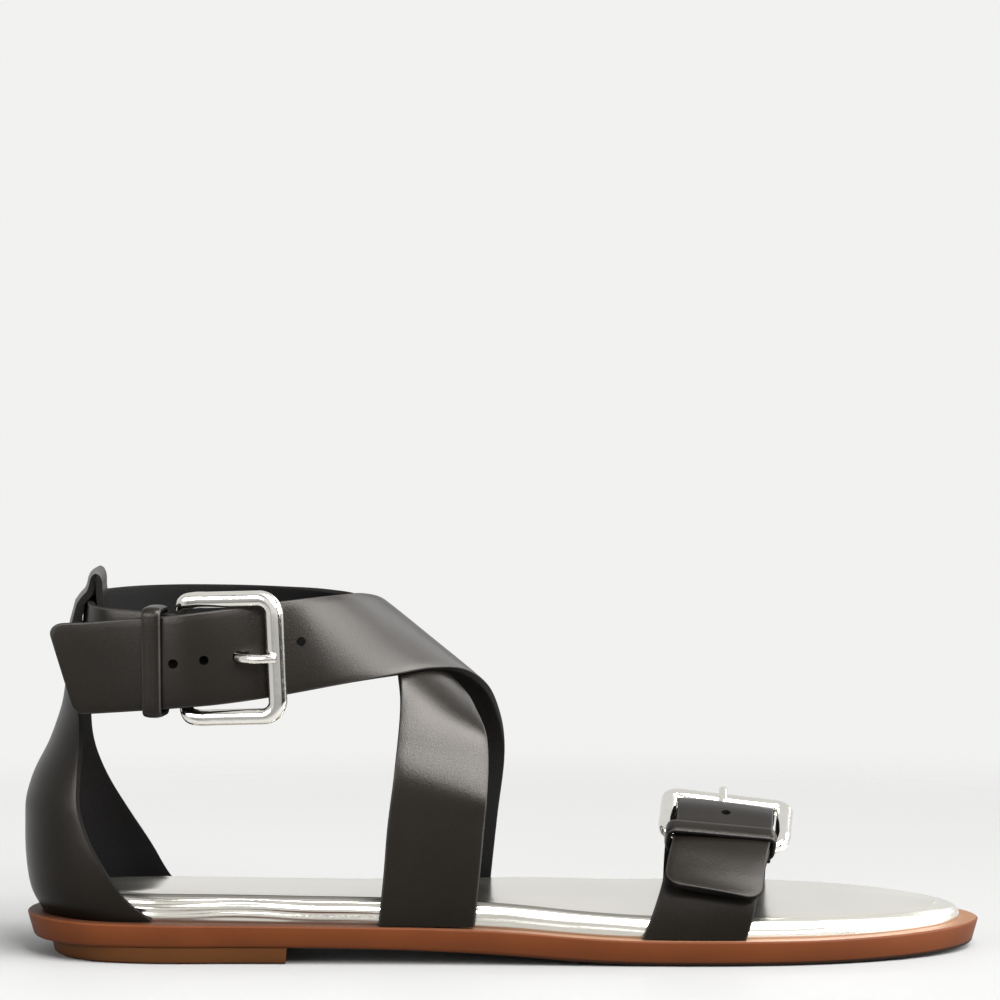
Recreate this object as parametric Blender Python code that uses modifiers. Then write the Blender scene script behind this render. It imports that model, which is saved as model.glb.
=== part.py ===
# Cross-strap flat sandal for the right foot: sole, padded insole, leather straps and two buckles.
# Modelled in millimetres from the back of the heel: +X runs to the toe, -Y is the outer (lateral)
# side, +Z is up and the floor is z = 0. A parent empty moves it so that the origin is under the middle.

import math

import bmesh
import bpy
import numpy as np
from mathutils import Matrix, Vector

MM = 0.001
GAP = 0.3                # clearance between pieces that touch

SOLE_LENGTH = 256.6
HEEL_RADIUS = 30.5
TOE_TIP_Y = 7.0
SOLE_STATIONS = 36       # stations from heel to toe on each side
SIDE_TAPER = 1.4         # how far the sole's side leans in towards the floor
TOP_ROUND = 1.0          # rounding of the sole's upper edge

HEEL_BREAST_X = 70.5
HEEL_BACK_X = 6.9
HEEL_HEIGHT = 4.0
HEEL_SIDE_INSET = 1.9
HEEL_TAPER = 0.9

INSOLE_CROWN = 0.5       # how much the pad rises in its middle
EDGE_ANGLE = 35          # degrees, sharper edges of the sole stay crisp

STRAP_THICK = 2.2
COUNTER_THICK = 1.8
TOE_LATERAL_THICK = 1.8
TOE_MEDIAL_THICK = 2.0
KEEPER_THICK = 1.5

HOLE_DIAMETER = 2.5
BACK_BAR_RADIUS = 1.25
SIDE_BAR_RADIUS = 1.85
FRONT_BAR_RADIUS = 2.15
BUCKLE_HEIGHT = 35.6     # outer size across the strap
BUCKLE_CORNER = 6.0
BACK_BAR_SET = 1.8       # how much deeper than the frame the back bar lies
ANKLE_PRONG_RADIUS = 1.2
TOE_PRONG_RADIUS = 1.1
PRONG_OVERHANG = 0.7     # how far a prong runs past the front bar's middle
PRONG_DIP = 0.2

# columns: x, lateral edge y, medial edge y
SOLE_OUTLINE = (
    (4.2, -15.6, 15.6),
    (14.5, -26.0, 26.0),
    (31.0, -30.5, 30.3),
    (60.0, -31.0, 28.0),
    (92.0, -31.6, 25.2),
    (122.0, -32.4, 27.6),
    (148.0, -33.6, 38.0),
    (170.0, -34.4, 48.6),
    (192.0, -34.2, 54.2),
    (212.0, -31.4, 52.8),
    (229.0, -25.6, 46.6),
    (243.0, -17.0, 35.4),
    (251.6, -8.0, 23.4),
    (255.4, 0.0, 14.6),
)

# columns: x, underside z, top z
SOLE_PROFILE = (
    (0.0, 4.3, 10.9),
    (60.0, 4.3, 10.5),
    (78.0, 4.3, 10.3),
    (104.0, 3.8, 10.1),
    (129.0, 2.5, 9.3),
    (150.0, 0.7, 7.5),
    (166.0, 0.0, 6.8),
    (216.0, 0.0, 6.7),
    (240.0, 0.4, 7.1),
    (256.6, 1.3, 7.9),
)

# columns: x, distance of the insole's edge from the outsole's lateral edge, and from its medial edge
INSOLE_LIP = (
    (0.0, 6.5, 6.5),
    (42.0, 6.5, 6.5),
    (60.0, 4.9, 5.2),
    (80.0, 4.5, 4.9),
    (150.0, 4.5, 5.0),
    (186.0, 4.5, 5.6),
    (230.0, 5.0, 5.2),
    (256.6, 5.0, 5.0),
)

# columns: x, height of the insole's rim above the outsole on the lateral side, and on the medial side
INSOLE_RIM = (
    (0.0, 7.2, 6.0),
    (60.0, 7.4, 6.1),
    (95.0, 7.3, 6.4),
    (143.0, 6.4, 7.6),
    (185.0, 5.6, 6.0),
    (215.0, 5.1, 5.2),
    (243.0, 4.5, 4.2),
    (256.6, 4.0, 3.7),
)

# columns: how far the insole's side is set in from its widest line, share of the rim's height
INSOLE_SIDE = (
    (0.8, 0.0),
    (0.0, 0.3),
    (0.1, 0.6),
    (1.0, 0.88),
    (3.2, 1.0),
)

# columns: z, x at the back, lateral front edge x, medial front edge x, radius round the heel
COUNTER_WALL = (
    (11.3, 4.1, 34.4, 42.0, 26.4),
    (17.2, 0.9, 27.0, 36.6, 27.2),
    (24.4, -0.3, 22.0, 32.4, 27.6),
    (34.6, -0.6, 16.4, 25.8, 27.2),
    (41.2, -0.3, 14.5, 21.8, 26.6),
    (48.0, 1.7, 14.4, 18.4, 25.6),
    (57.1, 6.2, 14.9, 15.6, 25.0),
    (64.6, 8.9, 14.9, 14.9, 27.0),
    (72.0, 10.4, 13.0, 13.0, 38.0),
    (89.0, 11.7, 12.7, 12.7, 66.0),
)

# columns: x, z of the strip's outer face where it folds forward over the ankle strap
COUNTER_FOLD = (
    (13.2, 94.6),
    (15.0, 99.4),
    (16.3, 101.6),
    (18.1, 102.6),
    (19.9, 101.8),
    (21.0, 99.4),
    (20.9, 95.0),
    (20.2, 84.0),
    (19.5, 74.0),
)
COUNTER_COLUMNS = 14
COUNTER_STRIP_HALF = 11.4
COUNTER_STRIP_RADIUS = 66.0

# columns: rear or upper edge x, y, z, then front or lower edge x, y, z
UNDER_STRAP = (
    (94.9, -30.4, 10.7, 120.5, -31.0, 10.5),
    (96.3, -30.4, 24.0, 122.0, -30.8, 24.0),
    (97.5, -30.0, 38.0, 123.3, -29.8, 38.0),
    (99.4, -28.4, 52.0, 124.3, -27.2, 50.0),
    (100.8, -25.2, 64.5, 123.9, -21.8, 61.0),
    (101.2, -19.2, 76.0, 121.4, -13.6, 67.8),
    (99.6, -10.2, 86.6, 118.2, -6.0, 72.2),
    (95.8, 0.0, 92.9, 113.2, 1.6, 75.4),
    (89.6, 11.0, 95.0, 105.6, 11.8, 75.8),
    (81.3, 21.5, 95.4, 94.6, 21.8, 74.4),
    (68.0, 27.8, 95.5, 78.0, 27.8, 72.0),
    (52.0, 29.8, 95.7, 57.0, 29.6, 70.8),
    (38.0, 27.8, 95.9, 40.0, 27.8, 70.8),
    (26.0, 21.6, 96.0, 26.4, 21.6, 70.8),
    (17.4, 12.6, 95.8, 16.2, 12.6, 70.8),
    (15.7, 0.0, 95.6, 13.6, 0.0, 70.6),
    (16.9, -12.0, 95.2, 15.4, -12.0, 70.4),
    (18.0, -19.4, 95.1, 17.0, -19.4, 70.0),
    (21.4, -25.4, 94.9, 21.4, -25.4, 69.9),
    (29.6, -29.4, 94.6, 29.8, -29.4, 69.8),
    (38.4, -31.9, 94.2, 38.8, -31.9, 69.4),
)

# columns: rear or upper edge x, y, z, then front or lower edge x, y, z
OVER_STRAP = (
    (98.0, 23.6, 10.7, 124.0, 26.2, 10.5),
    (100.0, 24.0, 33.0, 126.5, 25.6, 33.0),
    (102.0, 22.4, 53.0, 128.6, 22.4, 51.0),
    (103.4, 17.4, 72.6, 127.6, 14.0, 62.6),
    (101.6, 9.6, 86.8, 124.2, 6.6, 71.2),
    (97.1, 0.0, 94.4, 118.6, -1.2, 76.0),
    (91.4, -11.0, 97.7, 109.8, -12.5, 77.7),
    (84.6, -22.0, 98.3, 99.5, -23.0, 76.9),
    (75.0, -30.2, 97.9, 85.0, -30.0, 74.9),
    (66.5, -33.4, 97.0, 71.0, -33.4, 72.6),
    (57.0, -36.2, 95.9, 60.5, -36.2, 71.2),
    (48.5, -37.5, 94.9, 51.5, -37.5, 70.2),
    (42.5, -37.3, 94.2, 45.0, -37.4, 69.6),
    (33.5, -34.9, 93.2, 36.0, -35.3, 68.7),
    (25.0, -33.7, 92.4, 27.6, -33.9, 68.0),
    (18.0, -33.2, 91.8, 21.8, -33.4, 67.6),
    (11.0, -33.0, 91.2, 16.4, -33.2, 67.2),
    (8.7, -33.0, 89.0, 14.8, -33.2, 69.0),
)

# columns: x, y, z of the holes' centres along the over strap
ANKLE_HOLES = (
    (41.0, -37.0, 81.2),
    (49.1, -37.2, 82.2),
    (66.2, -34.0, 85.0),
    (74.7, -32.0, 86.6),
)
HOLE_DEPTH = 9.0                  # of the cutters that punch the ankle strap
ANKLE_PRONG_SLOT = ((54.4, -40.0, 81.2), (61.0, -31.0, 84.6))  # low and high corners

ANKLE_BAR = (43.5, -31.0, 82.0)
ANKLE_FOLD_TAIL = (3.2, 0.5)      # how far the folded end runs back past the bar, and dips towards it
ANKLE_FOLD_NARROWER = (0.3, 0.7)  # the folded end's upper and lower edges against the strap's
ANKLE_FRAME_LENGTH = 28.9
ANKLE_FRAME_YAW = -11.0          # degrees, the front bar stands further out than the back bar
ANKLE_FRAME_TILT = 2.5           # degrees, the front end is a little higher

ANKLE_KEEPER_AT = (36.1, -32.3, 81.7)
ANKLE_KEEPER_INSIDE = (27.2, 7.5)
ANKLE_KEEPER_WIDTH = 5.0
ANKLE_KEEPER_ACROSS = (-0.1, 0, 1)
ANKLE_KEEPER_ALONG = (1, -0.24, 0)
# the prong's points past its hook, in the frame's axes: along, across and out of the strap
ANKLE_PRONG_PATH = ((6.0, 0, -0.4), (12.4, 0, -0.5), (17.2, 0, 4.2))

# columns: y, z at mid width, rear edge x, front edge x, how much the rear edge is raised above mid
# width, how far the rear edge is turned towards the medial side
TOE_LATERAL = (
    (-33.0, 7.7, 165.0, 192.7, 0.2, 0.0),
    (-32.6, 12.0, 167.2, 194.2, 0.5, 0.2),
    (-31.2, 18.5, 169.6, 195.6, 1.0, 0.5),
    (-28.2, 24.2, 171.4, 197.0, 1.4, 0.8),
    (-24.0, 28.6, 173.0, 198.4, 1.5, 0.9),
    (-19.0, 31.8, 174.2, 199.6, 1.5, 0.9),
)
TOE_MEDIAL = (
    (50.8, 7.9, 172.0, 200.0, 0.0, -2.6),
    (47.4, 18.0, 172.4, 200.6, 0.4, -1.8),
    (39.0, 27.4, 173.2, 201.2, 0.9, -0.8),
    (28.0, 32.6, 174.4, 201.6, 1.3, 0.2),
    (18.0, 34.6, 175.6, 201.8, 1.5, 0.7),
    (10.4, 35.2, 176.0, 201.6, 1.5, 0.9),
    (5.2, 36.8, 175.9, 201.5, 1.5, 0.9),
    (0.2, 38.7, 175.6, 201.2, 1.5, 0.9),
    (-6.4, 38.7, 175.2, 200.8, 1.5, 0.9),
    (-13.4, 36.8, 174.8, 200.4, 1.5, 0.9),
    (-20.2, 34.0, 174.0, 199.6, 1.5, 0.9),
    (-26.2, 30.4, 172.8, 198.4, 1.5, 0.9),
    (-31.4, 26.0, 171.8, 197.4, 1.5, 0.9),
    (-35.0, 22.5, 171.8, 196.0, 1.6, 0.8),
    (-36.4, 21.2, 173.6, 193.8, 1.7, 0.8),
)
TOE_HOLE_STATIONS = (-9.8, 16.5)  # y of the free holes
TOE_PRONG_SLOT = ((185.0, 0.6, 30.0), (189.5, 7.8, 44.0))  # low and high corners
TOE_HOLE_AT = (187.6, 35.5)       # x and z of the holes' cutters
TOE_HOLE_DEPTH = 14.0

TOE_BAR = (187.0, -13.4, 30.0)
TOE_FOLD_HALF = 12.6
TOE_FOLD_TAIL = (1.6, 0.4)       # how far the folded end runs back past the bar, and drops
TOE_PRONG_PATH = ((6.0, 0, 0.0), (14.4, 0, 0.5), (19.8, 0, 4.4))
TOE_PRONG_TURN = 3.7             # degrees, the prong's tip lies a little to the rear
TOE_FRAME_LENGTH = 28.2
TOE_FRAME_RISE = 15.2            # degrees, the far bar is higher than the hidden back bar
TOE_FRAME_SLANT = 4.0            # degrees, turned with the strap's lean
TOE_FRAME_ROLL = 7.0             # degrees, the rear edge of the toe strap is the higher one

TOE_KEEPER_AT = (186.0, -22.6, 29.8)
TOE_KEEPER_INSIDE = (28.2, 7.4)
TOE_KEEPER_WIDTH = 6.0
TOE_KEEPER_RISE = 31.0           # degrees, with the slope of the strap there
KEEPER_CORNERS = (2.4, 0.9)      # outer and inner corner radius


def clear_scene():
    for obj in list(bpy.data.objects):
        bpy.data.objects.remove(obj, do_unlink=True)


def new_collection(name, hidden=False):
    collection = bpy.data.collections.new(name)
    bpy.context.scene.collection.children.link(collection)
    collection.hide_render = hidden
    return collection


def material(name, colour, roughness, metallic=0.0):
    mat = bpy.data.materials.new(name)
    mat.use_nodes = True
    shader = mat.node_tree.nodes["Principled BSDF"]
    shader.inputs["Base Color"].default_value = (*colour, 1.0)
    shader.inputs["Roughness"].default_value = roughness
    shader.inputs["Metallic"].default_value = metallic
    mat.diffuse_color = (*colour, 1.0)
    return mat


def spline(points, per_span):
    """Points on a smooth curve through the given ones, per_span steps between neighbours."""
    pts = np.asarray(points, float)
    ends = np.vstack([2 * pts[0] - pts[1], pts, 2 * pts[-1] - pts[-2]])
    out = []
    for i in range(1, len(ends) - 2):
        before, start, end, after = ends[i - 1:i + 3]
        span = np.linalg.norm(end - start)
        first = span / (span + np.linalg.norm(start - before))
        last = span / (span + np.linalg.norm(after - end))
        leave = (end - start) * (1 - first) + (start - before) * first * first / (1 - first)
        arrive = (end - start) * (1 - last) + (after - end) * last * last / (1 - last)
        for step in range(per_span):
            t = step / per_span
            out.append((2 * t**3 - 3 * t**2 + 1) * start + (t**3 - 2 * t**2 + t) * leave
                       + (3 * t**2 - 2 * t**3) * end + (t**3 - t**2) * arrive)
    out.append(pts[-1])
    return np.array(out)


def table_curve(table, column):
    """A function of x through one column of a table whose first column is x."""
    xs = [row[0] for row in table]
    values = [row[column] for row in table]

    def at(x):
        return float(np.interp(x, xs, values))
    return at


def add_object(name, verts, faces, collection, mat=None):
    mesh = bpy.data.meshes.new(name)
    mesh.from_pydata([tuple(MM * c for c in v) for v in verts], [], faces)
    mesh.validate()
    obj = bpy.data.objects.new(name, mesh)
    collection.objects.link(obj)
    if mat:
        mesh.materials.append(mat)
    return obj


def outward(obj):
    bm = bmesh.new()
    bm.from_mesh(obj.data)
    bmesh.ops.remove_doubles(bm, verts=bm.verts, dist=1e-6)
    bmesh.ops.recalc_face_normals(bm, faces=bm.faces)
    bm.to_mesh(obj.data)
    bm.free()


def smooth(obj, angle=40):
    obj.data.shade_smooth()
    obj.data.set_sharp_from_angle(angle=math.radians(angle))


def as_mesh(obj, collection, mat=None):
    """The object as a mesh with its modifiers applied and loose seams welded."""
    graph = bpy.context.evaluated_depsgraph_get()
    mesh = bpy.data.meshes.new_from_object(obj.evaluated_get(graph))
    name = obj.name
    matrix = obj.matrix_world.copy()
    bpy.data.objects.remove(obj, do_unlink=True)
    solid = bpy.data.objects.new(name, mesh)
    solid.matrix_world = matrix
    collection.objects.link(solid)
    outward(solid)
    mesh.materials.clear()
    if mat:
        mesh.materials.append(mat)
    return solid


def boolean(obj, other, operation):
    mod = obj.modifiers.new(operation.lower(), "BOOLEAN")
    mod.operation = operation
    mod.object = other


def as_helper(obj):
    obj.hide_render = True
    obj.display_type = "WIRE"


def sole_outline():
    """Lateral and medial edge points from heel to toe, SOLE_STATIONS steps each."""
    edges = []
    for column in (1, 2):
        points = [(0.0, 0.0)]
        points += [(row[0], row[column]) for row in SOLE_OUTLINE]
        points += [(SOLE_LENGTH, TOE_TIP_Y)]
        guide = [(points[1][0], -points[1][1])] + points + [(points[-2][0], 2 * TOE_TIP_Y - points[-2][1])]
        curve = spline(guide, 12)[12:-12]
        along = np.concatenate([[0], np.cumsum(np.linalg.norm(np.diff(curve, axis=0), axis=1))])
        steps = np.linspace(0, along[-1], SOLE_STATIONS + 1)
        edges.append(np.column_stack([np.interp(steps, along, curve[:, k]) for k in (0, 1)]))
    return edges


def ring_of(edges):
    """One closed ring: the lateral edge from heel to toe, then the medial edge back."""
    lateral, medial = edges
    return np.vstack([lateral, medial[-2:0:-1]])


def inset_ring(ring, inset_at, medial_inset_at=None):
    tangent = np.roll(ring, -1, axis=0) - np.roll(ring, 1, axis=0)
    inward = np.column_stack([-tangent[:, 1], tangent[:, 0]])
    inward /= np.linalg.norm(inward, axis=1)[:, None]
    other = medial_inset_at or inset_at
    depth = [(inset_at if i <= len(ring) // 2 else other)(p[0]) for i, p in enumerate(ring)]
    return ring + inward * np.array(depth)[:, None]


def lift_ring(ring, z_at):
    return [(x, y, z_at(x)) for x, y in ring]


def cap_rows(ring, across, crown):
    """Rows of points from the lateral to the medial edge that close a ring."""
    half = len(ring) // 2
    rows = []
    for i in range(1, half):
        start = np.array(ring[i])
        end = np.array(ring[-i])
        row = []
        for k in range(1, across):
            t = k / across
            x, y, z = start + (end - start) * t
            row.append((x, y, z + crown * (1 - (2 * t - 1)**2)))
        rows.append(row)
    return rows


def ring_solid(name, rings, crown, across, collection, mat):
    """A solid through a stack of rings, closed by a flat underside and a crowned top."""
    count = len(rings[0])
    half = count // 2
    verts = [v for ring in rings for v in ring]
    faces = []
    for level in range(len(rings) - 1):
        base = level * count
        for i in range(count):
            j = (i + 1) % count
            faces.append((base + i, base + j, base + count + j, base + count + i))
    for ring_index, rise in ((0, 0.0), (len(rings) - 1, crown)):
        base = ring_index * count
        rows = [[base]]
        for i, inner in enumerate(cap_rows(rings[ring_index], across, rise), 1):
            first = len(verts)
            verts += inner
            rows.append([base + i, *range(first, first + len(inner)), base + count - i])
        rows.append([base + half])
        for row, nxt in zip(rows, rows[1:]):
            for k in range(across):
                a, b = row[min(k, len(row) - 1)], row[min(k + 1, len(row) - 1)]
                c, d = nxt[min(k + 1, len(nxt) - 1)], nxt[min(k, len(nxt) - 1)]
                faces.append(tuple(dict.fromkeys((a, b, c, d))))
    obj = add_object(name, verts, faces, collection, mat)
    outward(obj)
    smooth(obj, EDGE_ANGLE)
    return obj


def make_sole(collection, mats):
    edges = sole_outline()
    outer = ring_of(edges)
    bottom = table_curve(SOLE_PROFILE, 1)
    top = table_curve(SOLE_PROFILE, 2)
    outsole_rings = [
        lift_ring(inset_ring(outer, lambda x: SIDE_TAPER), bottom),
        lift_ring(outer, lambda x: top(x) - TOP_ROUND),
        lift_ring(inset_ring(outer, lambda x: 0.3 * TOP_ROUND), lambda x: top(x) - 0.3 * TOP_ROUND),
        lift_ring(inset_ring(outer, lambda x: TOP_ROUND), top),
    ]
    ring_solid("outsole", outsole_rings, 0.0, 2, collection, mats["tan"])
    make_heel(outer, collection, mats["tan"])

    lateral_lip = table_curve(INSOLE_LIP, 1)
    medial_lip = table_curve(INSOLE_LIP, 2)
    insole_rings = []
    for inset, share in INSOLE_SIDE:
        edge = inset_ring(outer, lambda x: lateral_lip(x) + inset, lambda x: medial_lip(x) + inset)
        insole_rings.append([(x, y, top(x) + GAP + share * (rim_height(x, i) - GAP))
                             for i, (x, y) in enumerate(edge)])
    ring_solid("insole", insole_rings, INSOLE_CROWN, 6, collection, mats["silver"])


def rim_height(x, index):
    """Height of the insole's rim at a point of its ring, which runs along the lateral side first."""
    column = 1 if index <= SOLE_STATIONS else 2
    return table_curve(INSOLE_RIM, column)(x)


def make_heel(outer, collection, mat):
    """The lift follows the outsole's outline, set in at the back, with a straight breast."""
    def heel_inset(extra):
        back = HEEL_BACK_X - HEEL_SIDE_INSET

        def at(x):
            return HEEL_SIDE_INSET + extra + back * max(0.0, 1 - x / HEEL_RADIUS)**1.5
        return at
    rings = []
    for extra, z in ((HEEL_TAPER, 0.0), (0.0, HEEL_HEIGHT)):
        ring = inset_ring(outer, heel_inset(extra))
        front = HEEL_BREAST_X
        around = [p for p in ring if p[0] < front - 1.0]
        split = max(range(len(around) - 1), key=lambda i: abs(around[i + 1][1] - around[i][1]))
        around = around[split + 1:] + around[:split + 1]
        medial, lateral = around[0], around[-1]
        outline = [(front, medial[1]), *map(tuple, around), (front, lateral[1])]
        rings.append([(x, y, z) for x, y in outline])
    count = len(rings[0])
    verts = rings[0] + rings[1]
    faces = [tuple(range(count)), tuple(range(count, 2 * count))]
    faces += [(i, (i + 1) % count, count + (i + 1) % count, count + i) for i in range(count)]
    heel = add_object("heel", verts, faces, collection, mat)
    outward(heel)
    smooth(heel, EDGE_ANGLE)


def ribbon(name, rows, thickness, across, outside_left, collection):
    """A strap from rows of (first edge point, second edge point) on its outer face."""
    steps = np.linspace(0, 1, across + 1)
    grid = [[tuple(np.array(first) * (1 - t) + np.array(second) * t) for t in steps] for first, second in rows]
    return sheet(name, grid, thickness, outside_left, collection)


def sheet(name, grid, thickness, outside_left, collection, mat=None):
    """A sheet of leather through rows of points on its outer face, thickened inwards."""
    verts = [point for row in grid for point in row]
    width = len(grid[0])
    faces = []
    for i in range(len(grid) - 1):
        for k in range(width - 1):
            face = (i * width + k, i * width + k + 1, (i + 1) * width + k + 1, (i + 1) * width + k)
            faces.append(face if outside_left else face[::-1])
    obj = add_object(name, verts, faces, collection, mat)
    wall = obj.modifiers.new("thickness", "SOLIDIFY")
    wall.thickness = thickness * MM
    wall.offset = -1.0
    wall.use_even_offset = True
    return obj


def edge_rows(table, per_span):
    curve = spline(table, per_span)
    return [(row[:3], row[3:]) for row in curve]


def wrap_round_bar(centre, radius, start, end, steps):
    """Plan points on an arc round a bar, angles in degrees."""
    for step in range(steps + 1):
        angle = math.radians(start + (end - start) * step / steps)
        yield centre[0] + radius * math.cos(angle), centre[1] + radius * math.sin(angle)


def cylinder(name, at, direction, radius, length, collection):
    """A round cutter along a direction."""
    bm = bmesh.new()
    bmesh.ops.create_cone(bm, cap_ends=True, segments=12, radius1=radius * MM, radius2=radius * MM,
                          depth=length * MM)
    turn = Vector(direction).to_track_quat("Z", "X").to_matrix().to_4x4()
    bmesh.ops.transform(bm, matrix=Matrix.Translation(Vector(at) * MM) @ turn, verts=bm.verts)
    mesh = bpy.data.meshes.new(name)
    bm.to_mesh(mesh)
    bm.free()
    obj = bpy.data.objects.new(name, mesh)
    collection.objects.link(obj)
    as_helper(obj)
    return obj


def slot_cutter(name, low, high, collection):
    bm = bmesh.new()
    bmesh.ops.create_cube(bm, size=1.0)
    low, high = Vector(low) * MM, Vector(high) * MM
    bmesh.ops.scale(bm, vec=high - low, verts=bm.verts)
    bmesh.ops.translate(bm, vec=(low + high) / 2, verts=bm.verts)
    mesh = bpy.data.meshes.new(name)
    bm.to_mesh(mesh)
    bm.free()
    obj = bpy.data.objects.new(name, mesh)
    collection.objects.link(obj)
    as_helper(obj)
    return obj


def make_cross_straps(parts, cutters, mat):
    """The two ankle straps, joined in one solid where they cross on the instep."""
    rows = edge_rows(UNDER_STRAP, 3)
    bar_x, bar_y, bar_z = ANKLE_BAR
    round_bar = BACK_BAR_RADIUS + GAP + STRAP_THICK
    fold = list(wrap_round_bar((bar_x, bar_y), round_bar, -100, 100, 8))
    fold.append((bar_x - ANKLE_FOLD_TAIL[0], bar_y + round_bar - ANKLE_FOLD_TAIL[1]))
    upper = UNDER_STRAP[-1][2] - ANKLE_FOLD_NARROWER[0]
    lower = UNDER_STRAP[-1][5] + ANKLE_FOLD_NARROWER[1]
    lean = math.tan(math.radians(ANKLE_FRAME_TILT))
    for x, y in fold:
        rows.append(((x - lean * (upper - bar_z), y, upper), (x - lean * (lower - bar_z), y, lower)))
    under = ribbon("cross_straps", rows, STRAP_THICK, 4, True, cutters)
    under = as_mesh(under, parts, mat)
    over = ribbon("over_strap", edge_rows(OVER_STRAP, 3), STRAP_THICK, 4, False, cutters)
    over = as_mesh(over, cutters)
    as_helper(over)
    boolean(under, over, "UNION")
    for i, at in enumerate(ANKLE_HOLES):
        boolean(under, cylinder(f"ankle_hole_{i}", at, (0.15, -1, 0), HOLE_DIAMETER / 2, HOLE_DEPTH, cutters),
                "DIFFERENCE")
    boolean(under, slot_cutter("ankle_prong_slot", *ANKLE_PRONG_SLOT, cutters), "DIFFERENCE")
    hook = ANKLE_PRONG_RADIUS + 2 * GAP
    chape_slot = slot_cutter("chape_slot", (bar_x - 4.2, bar_y - 4.4, bar_z - hook),
                             (bar_x + 6.0, bar_y + 5.0, bar_z + hook), cutters)
    boolean(under, chape_slot, "DIFFERENCE")
    smooth(under)


def make_counter(parts, mat):
    rows = []
    for z, back, lateral, medial, radius in spline(COUNTER_WALL, 2):
        rows.append(heel_row(back, z, lateral - back, medial - back, radius))
    depth = COUNTER_STRIP_RADIUS - math.sqrt(COUNTER_STRIP_RADIUS**2 - COUNTER_STRIP_HALF**2)
    for x, z in spline(COUNTER_FOLD, 2):
        rows.append(heel_row(x, z, depth, depth, COUNTER_STRIP_RADIUS))
    smooth(sheet("heel_counter", rows, COUNTER_THICK, False, parts, mat))


def heel_row(back, z, lateral_depth, medial_depth, radius):
    """Points round the heel at one height, from the lateral front edge to the medial one."""
    def reach(depth):
        if depth >= radius:
            return radius * math.pi / 2 + depth - radius
        return radius * math.acos(1 - depth / radius)
    row = []
    for s in np.linspace(-reach(lateral_depth), reach(medial_depth), COUNTER_COLUMNS + 1):
        turn = min(abs(s), radius * math.pi / 2) / radius
        straight = max(0.0, abs(s) - radius * math.pi / 2)
        y = math.copysign(radius * math.sin(turn), s)
        row.append((back + radius * (1 - math.cos(turn)) + straight, y, z))
    return row


def toe_rows(table, per_span):
    """Edge rows of a toe strap, the rear edge first."""
    rows = []
    for y, z, rear, front, raised, turned in spline(table, per_span):
        rows.append(((rear, y + turned, z + raised), (front, y - turned, z - raised)))
    return rows


def make_toe_straps(parts, cutters, mat):
    lateral = toe_rows(TOE_LATERAL, 2)
    bar = TOE_BAR
    round_bar = BACK_BAR_RADIUS + GAP + TOE_LATERAL_THICK
    reach = np.array(toe_frame_matrix().col[1][:3]) * TOE_FOLD_HALF
    top_angle = 90 + TOE_FRAME_RISE
    fold = list(wrap_round_bar((bar[1], bar[2]), round_bar, top_angle, top_angle - 180, 8))
    fold.append((bar[1] - TOE_FOLD_TAIL[0], bar[2] - round_bar - TOE_FOLD_TAIL[1]))
    for y, z in fold:
        middle = np.array((bar[0], y, z))
        lateral.append((tuple(middle + reach), tuple(middle - reach)))
    piece = as_mesh(ribbon("toe_strap_lateral", lateral, TOE_LATERAL_THICK, 2, True, cutters), parts, mat)
    hook = TOE_PRONG_RADIUS + 2 * GAP
    slot = slot_cutter("toe_chape_slot", (bar[0] - hook, bar[1] - 4.0, bar[2] - 5.0),
                       (bar[0] + hook, bar[1] + 6.0, bar[2] + 5.0), cutters)
    boolean(piece, slot, "DIFFERENCE")
    smooth(piece)

    medial = toe_rows(TOE_MEDIAL, 2)
    billet = as_mesh(ribbon("toe_strap_medial", medial, TOE_MEDIAL_THICK, 2, False, cutters), parts, mat)
    for i, y in enumerate(TOE_HOLE_STATIONS):
        at = (TOE_HOLE_AT[0], y, TOE_HOLE_AT[1])
        boolean(billet, cylinder(f"toe_hole_{i}", at, (0.1, 0, 1), HOLE_DIAMETER / 2, TOE_HOLE_DEPTH, cutters),
                "DIFFERENCE")
    boolean(billet, slot_cutter("toe_prong_slot", *TOE_PRONG_SLOT, cutters), "DIFFERENCE")
    smooth(billet)


def frame_matrix(bar, along, across):
    """Axes of a buckle: X from back bar to front bar, Y across the strap, Z out of the strap."""
    x = Vector(along).normalized()
    z = x.cross(Vector(across)).normalized()
    y = z.cross(x)
    matrix = Matrix((x, y, z)).transposed().to_4x4()
    matrix.translation = Vector(bar) * MM
    return matrix


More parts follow.
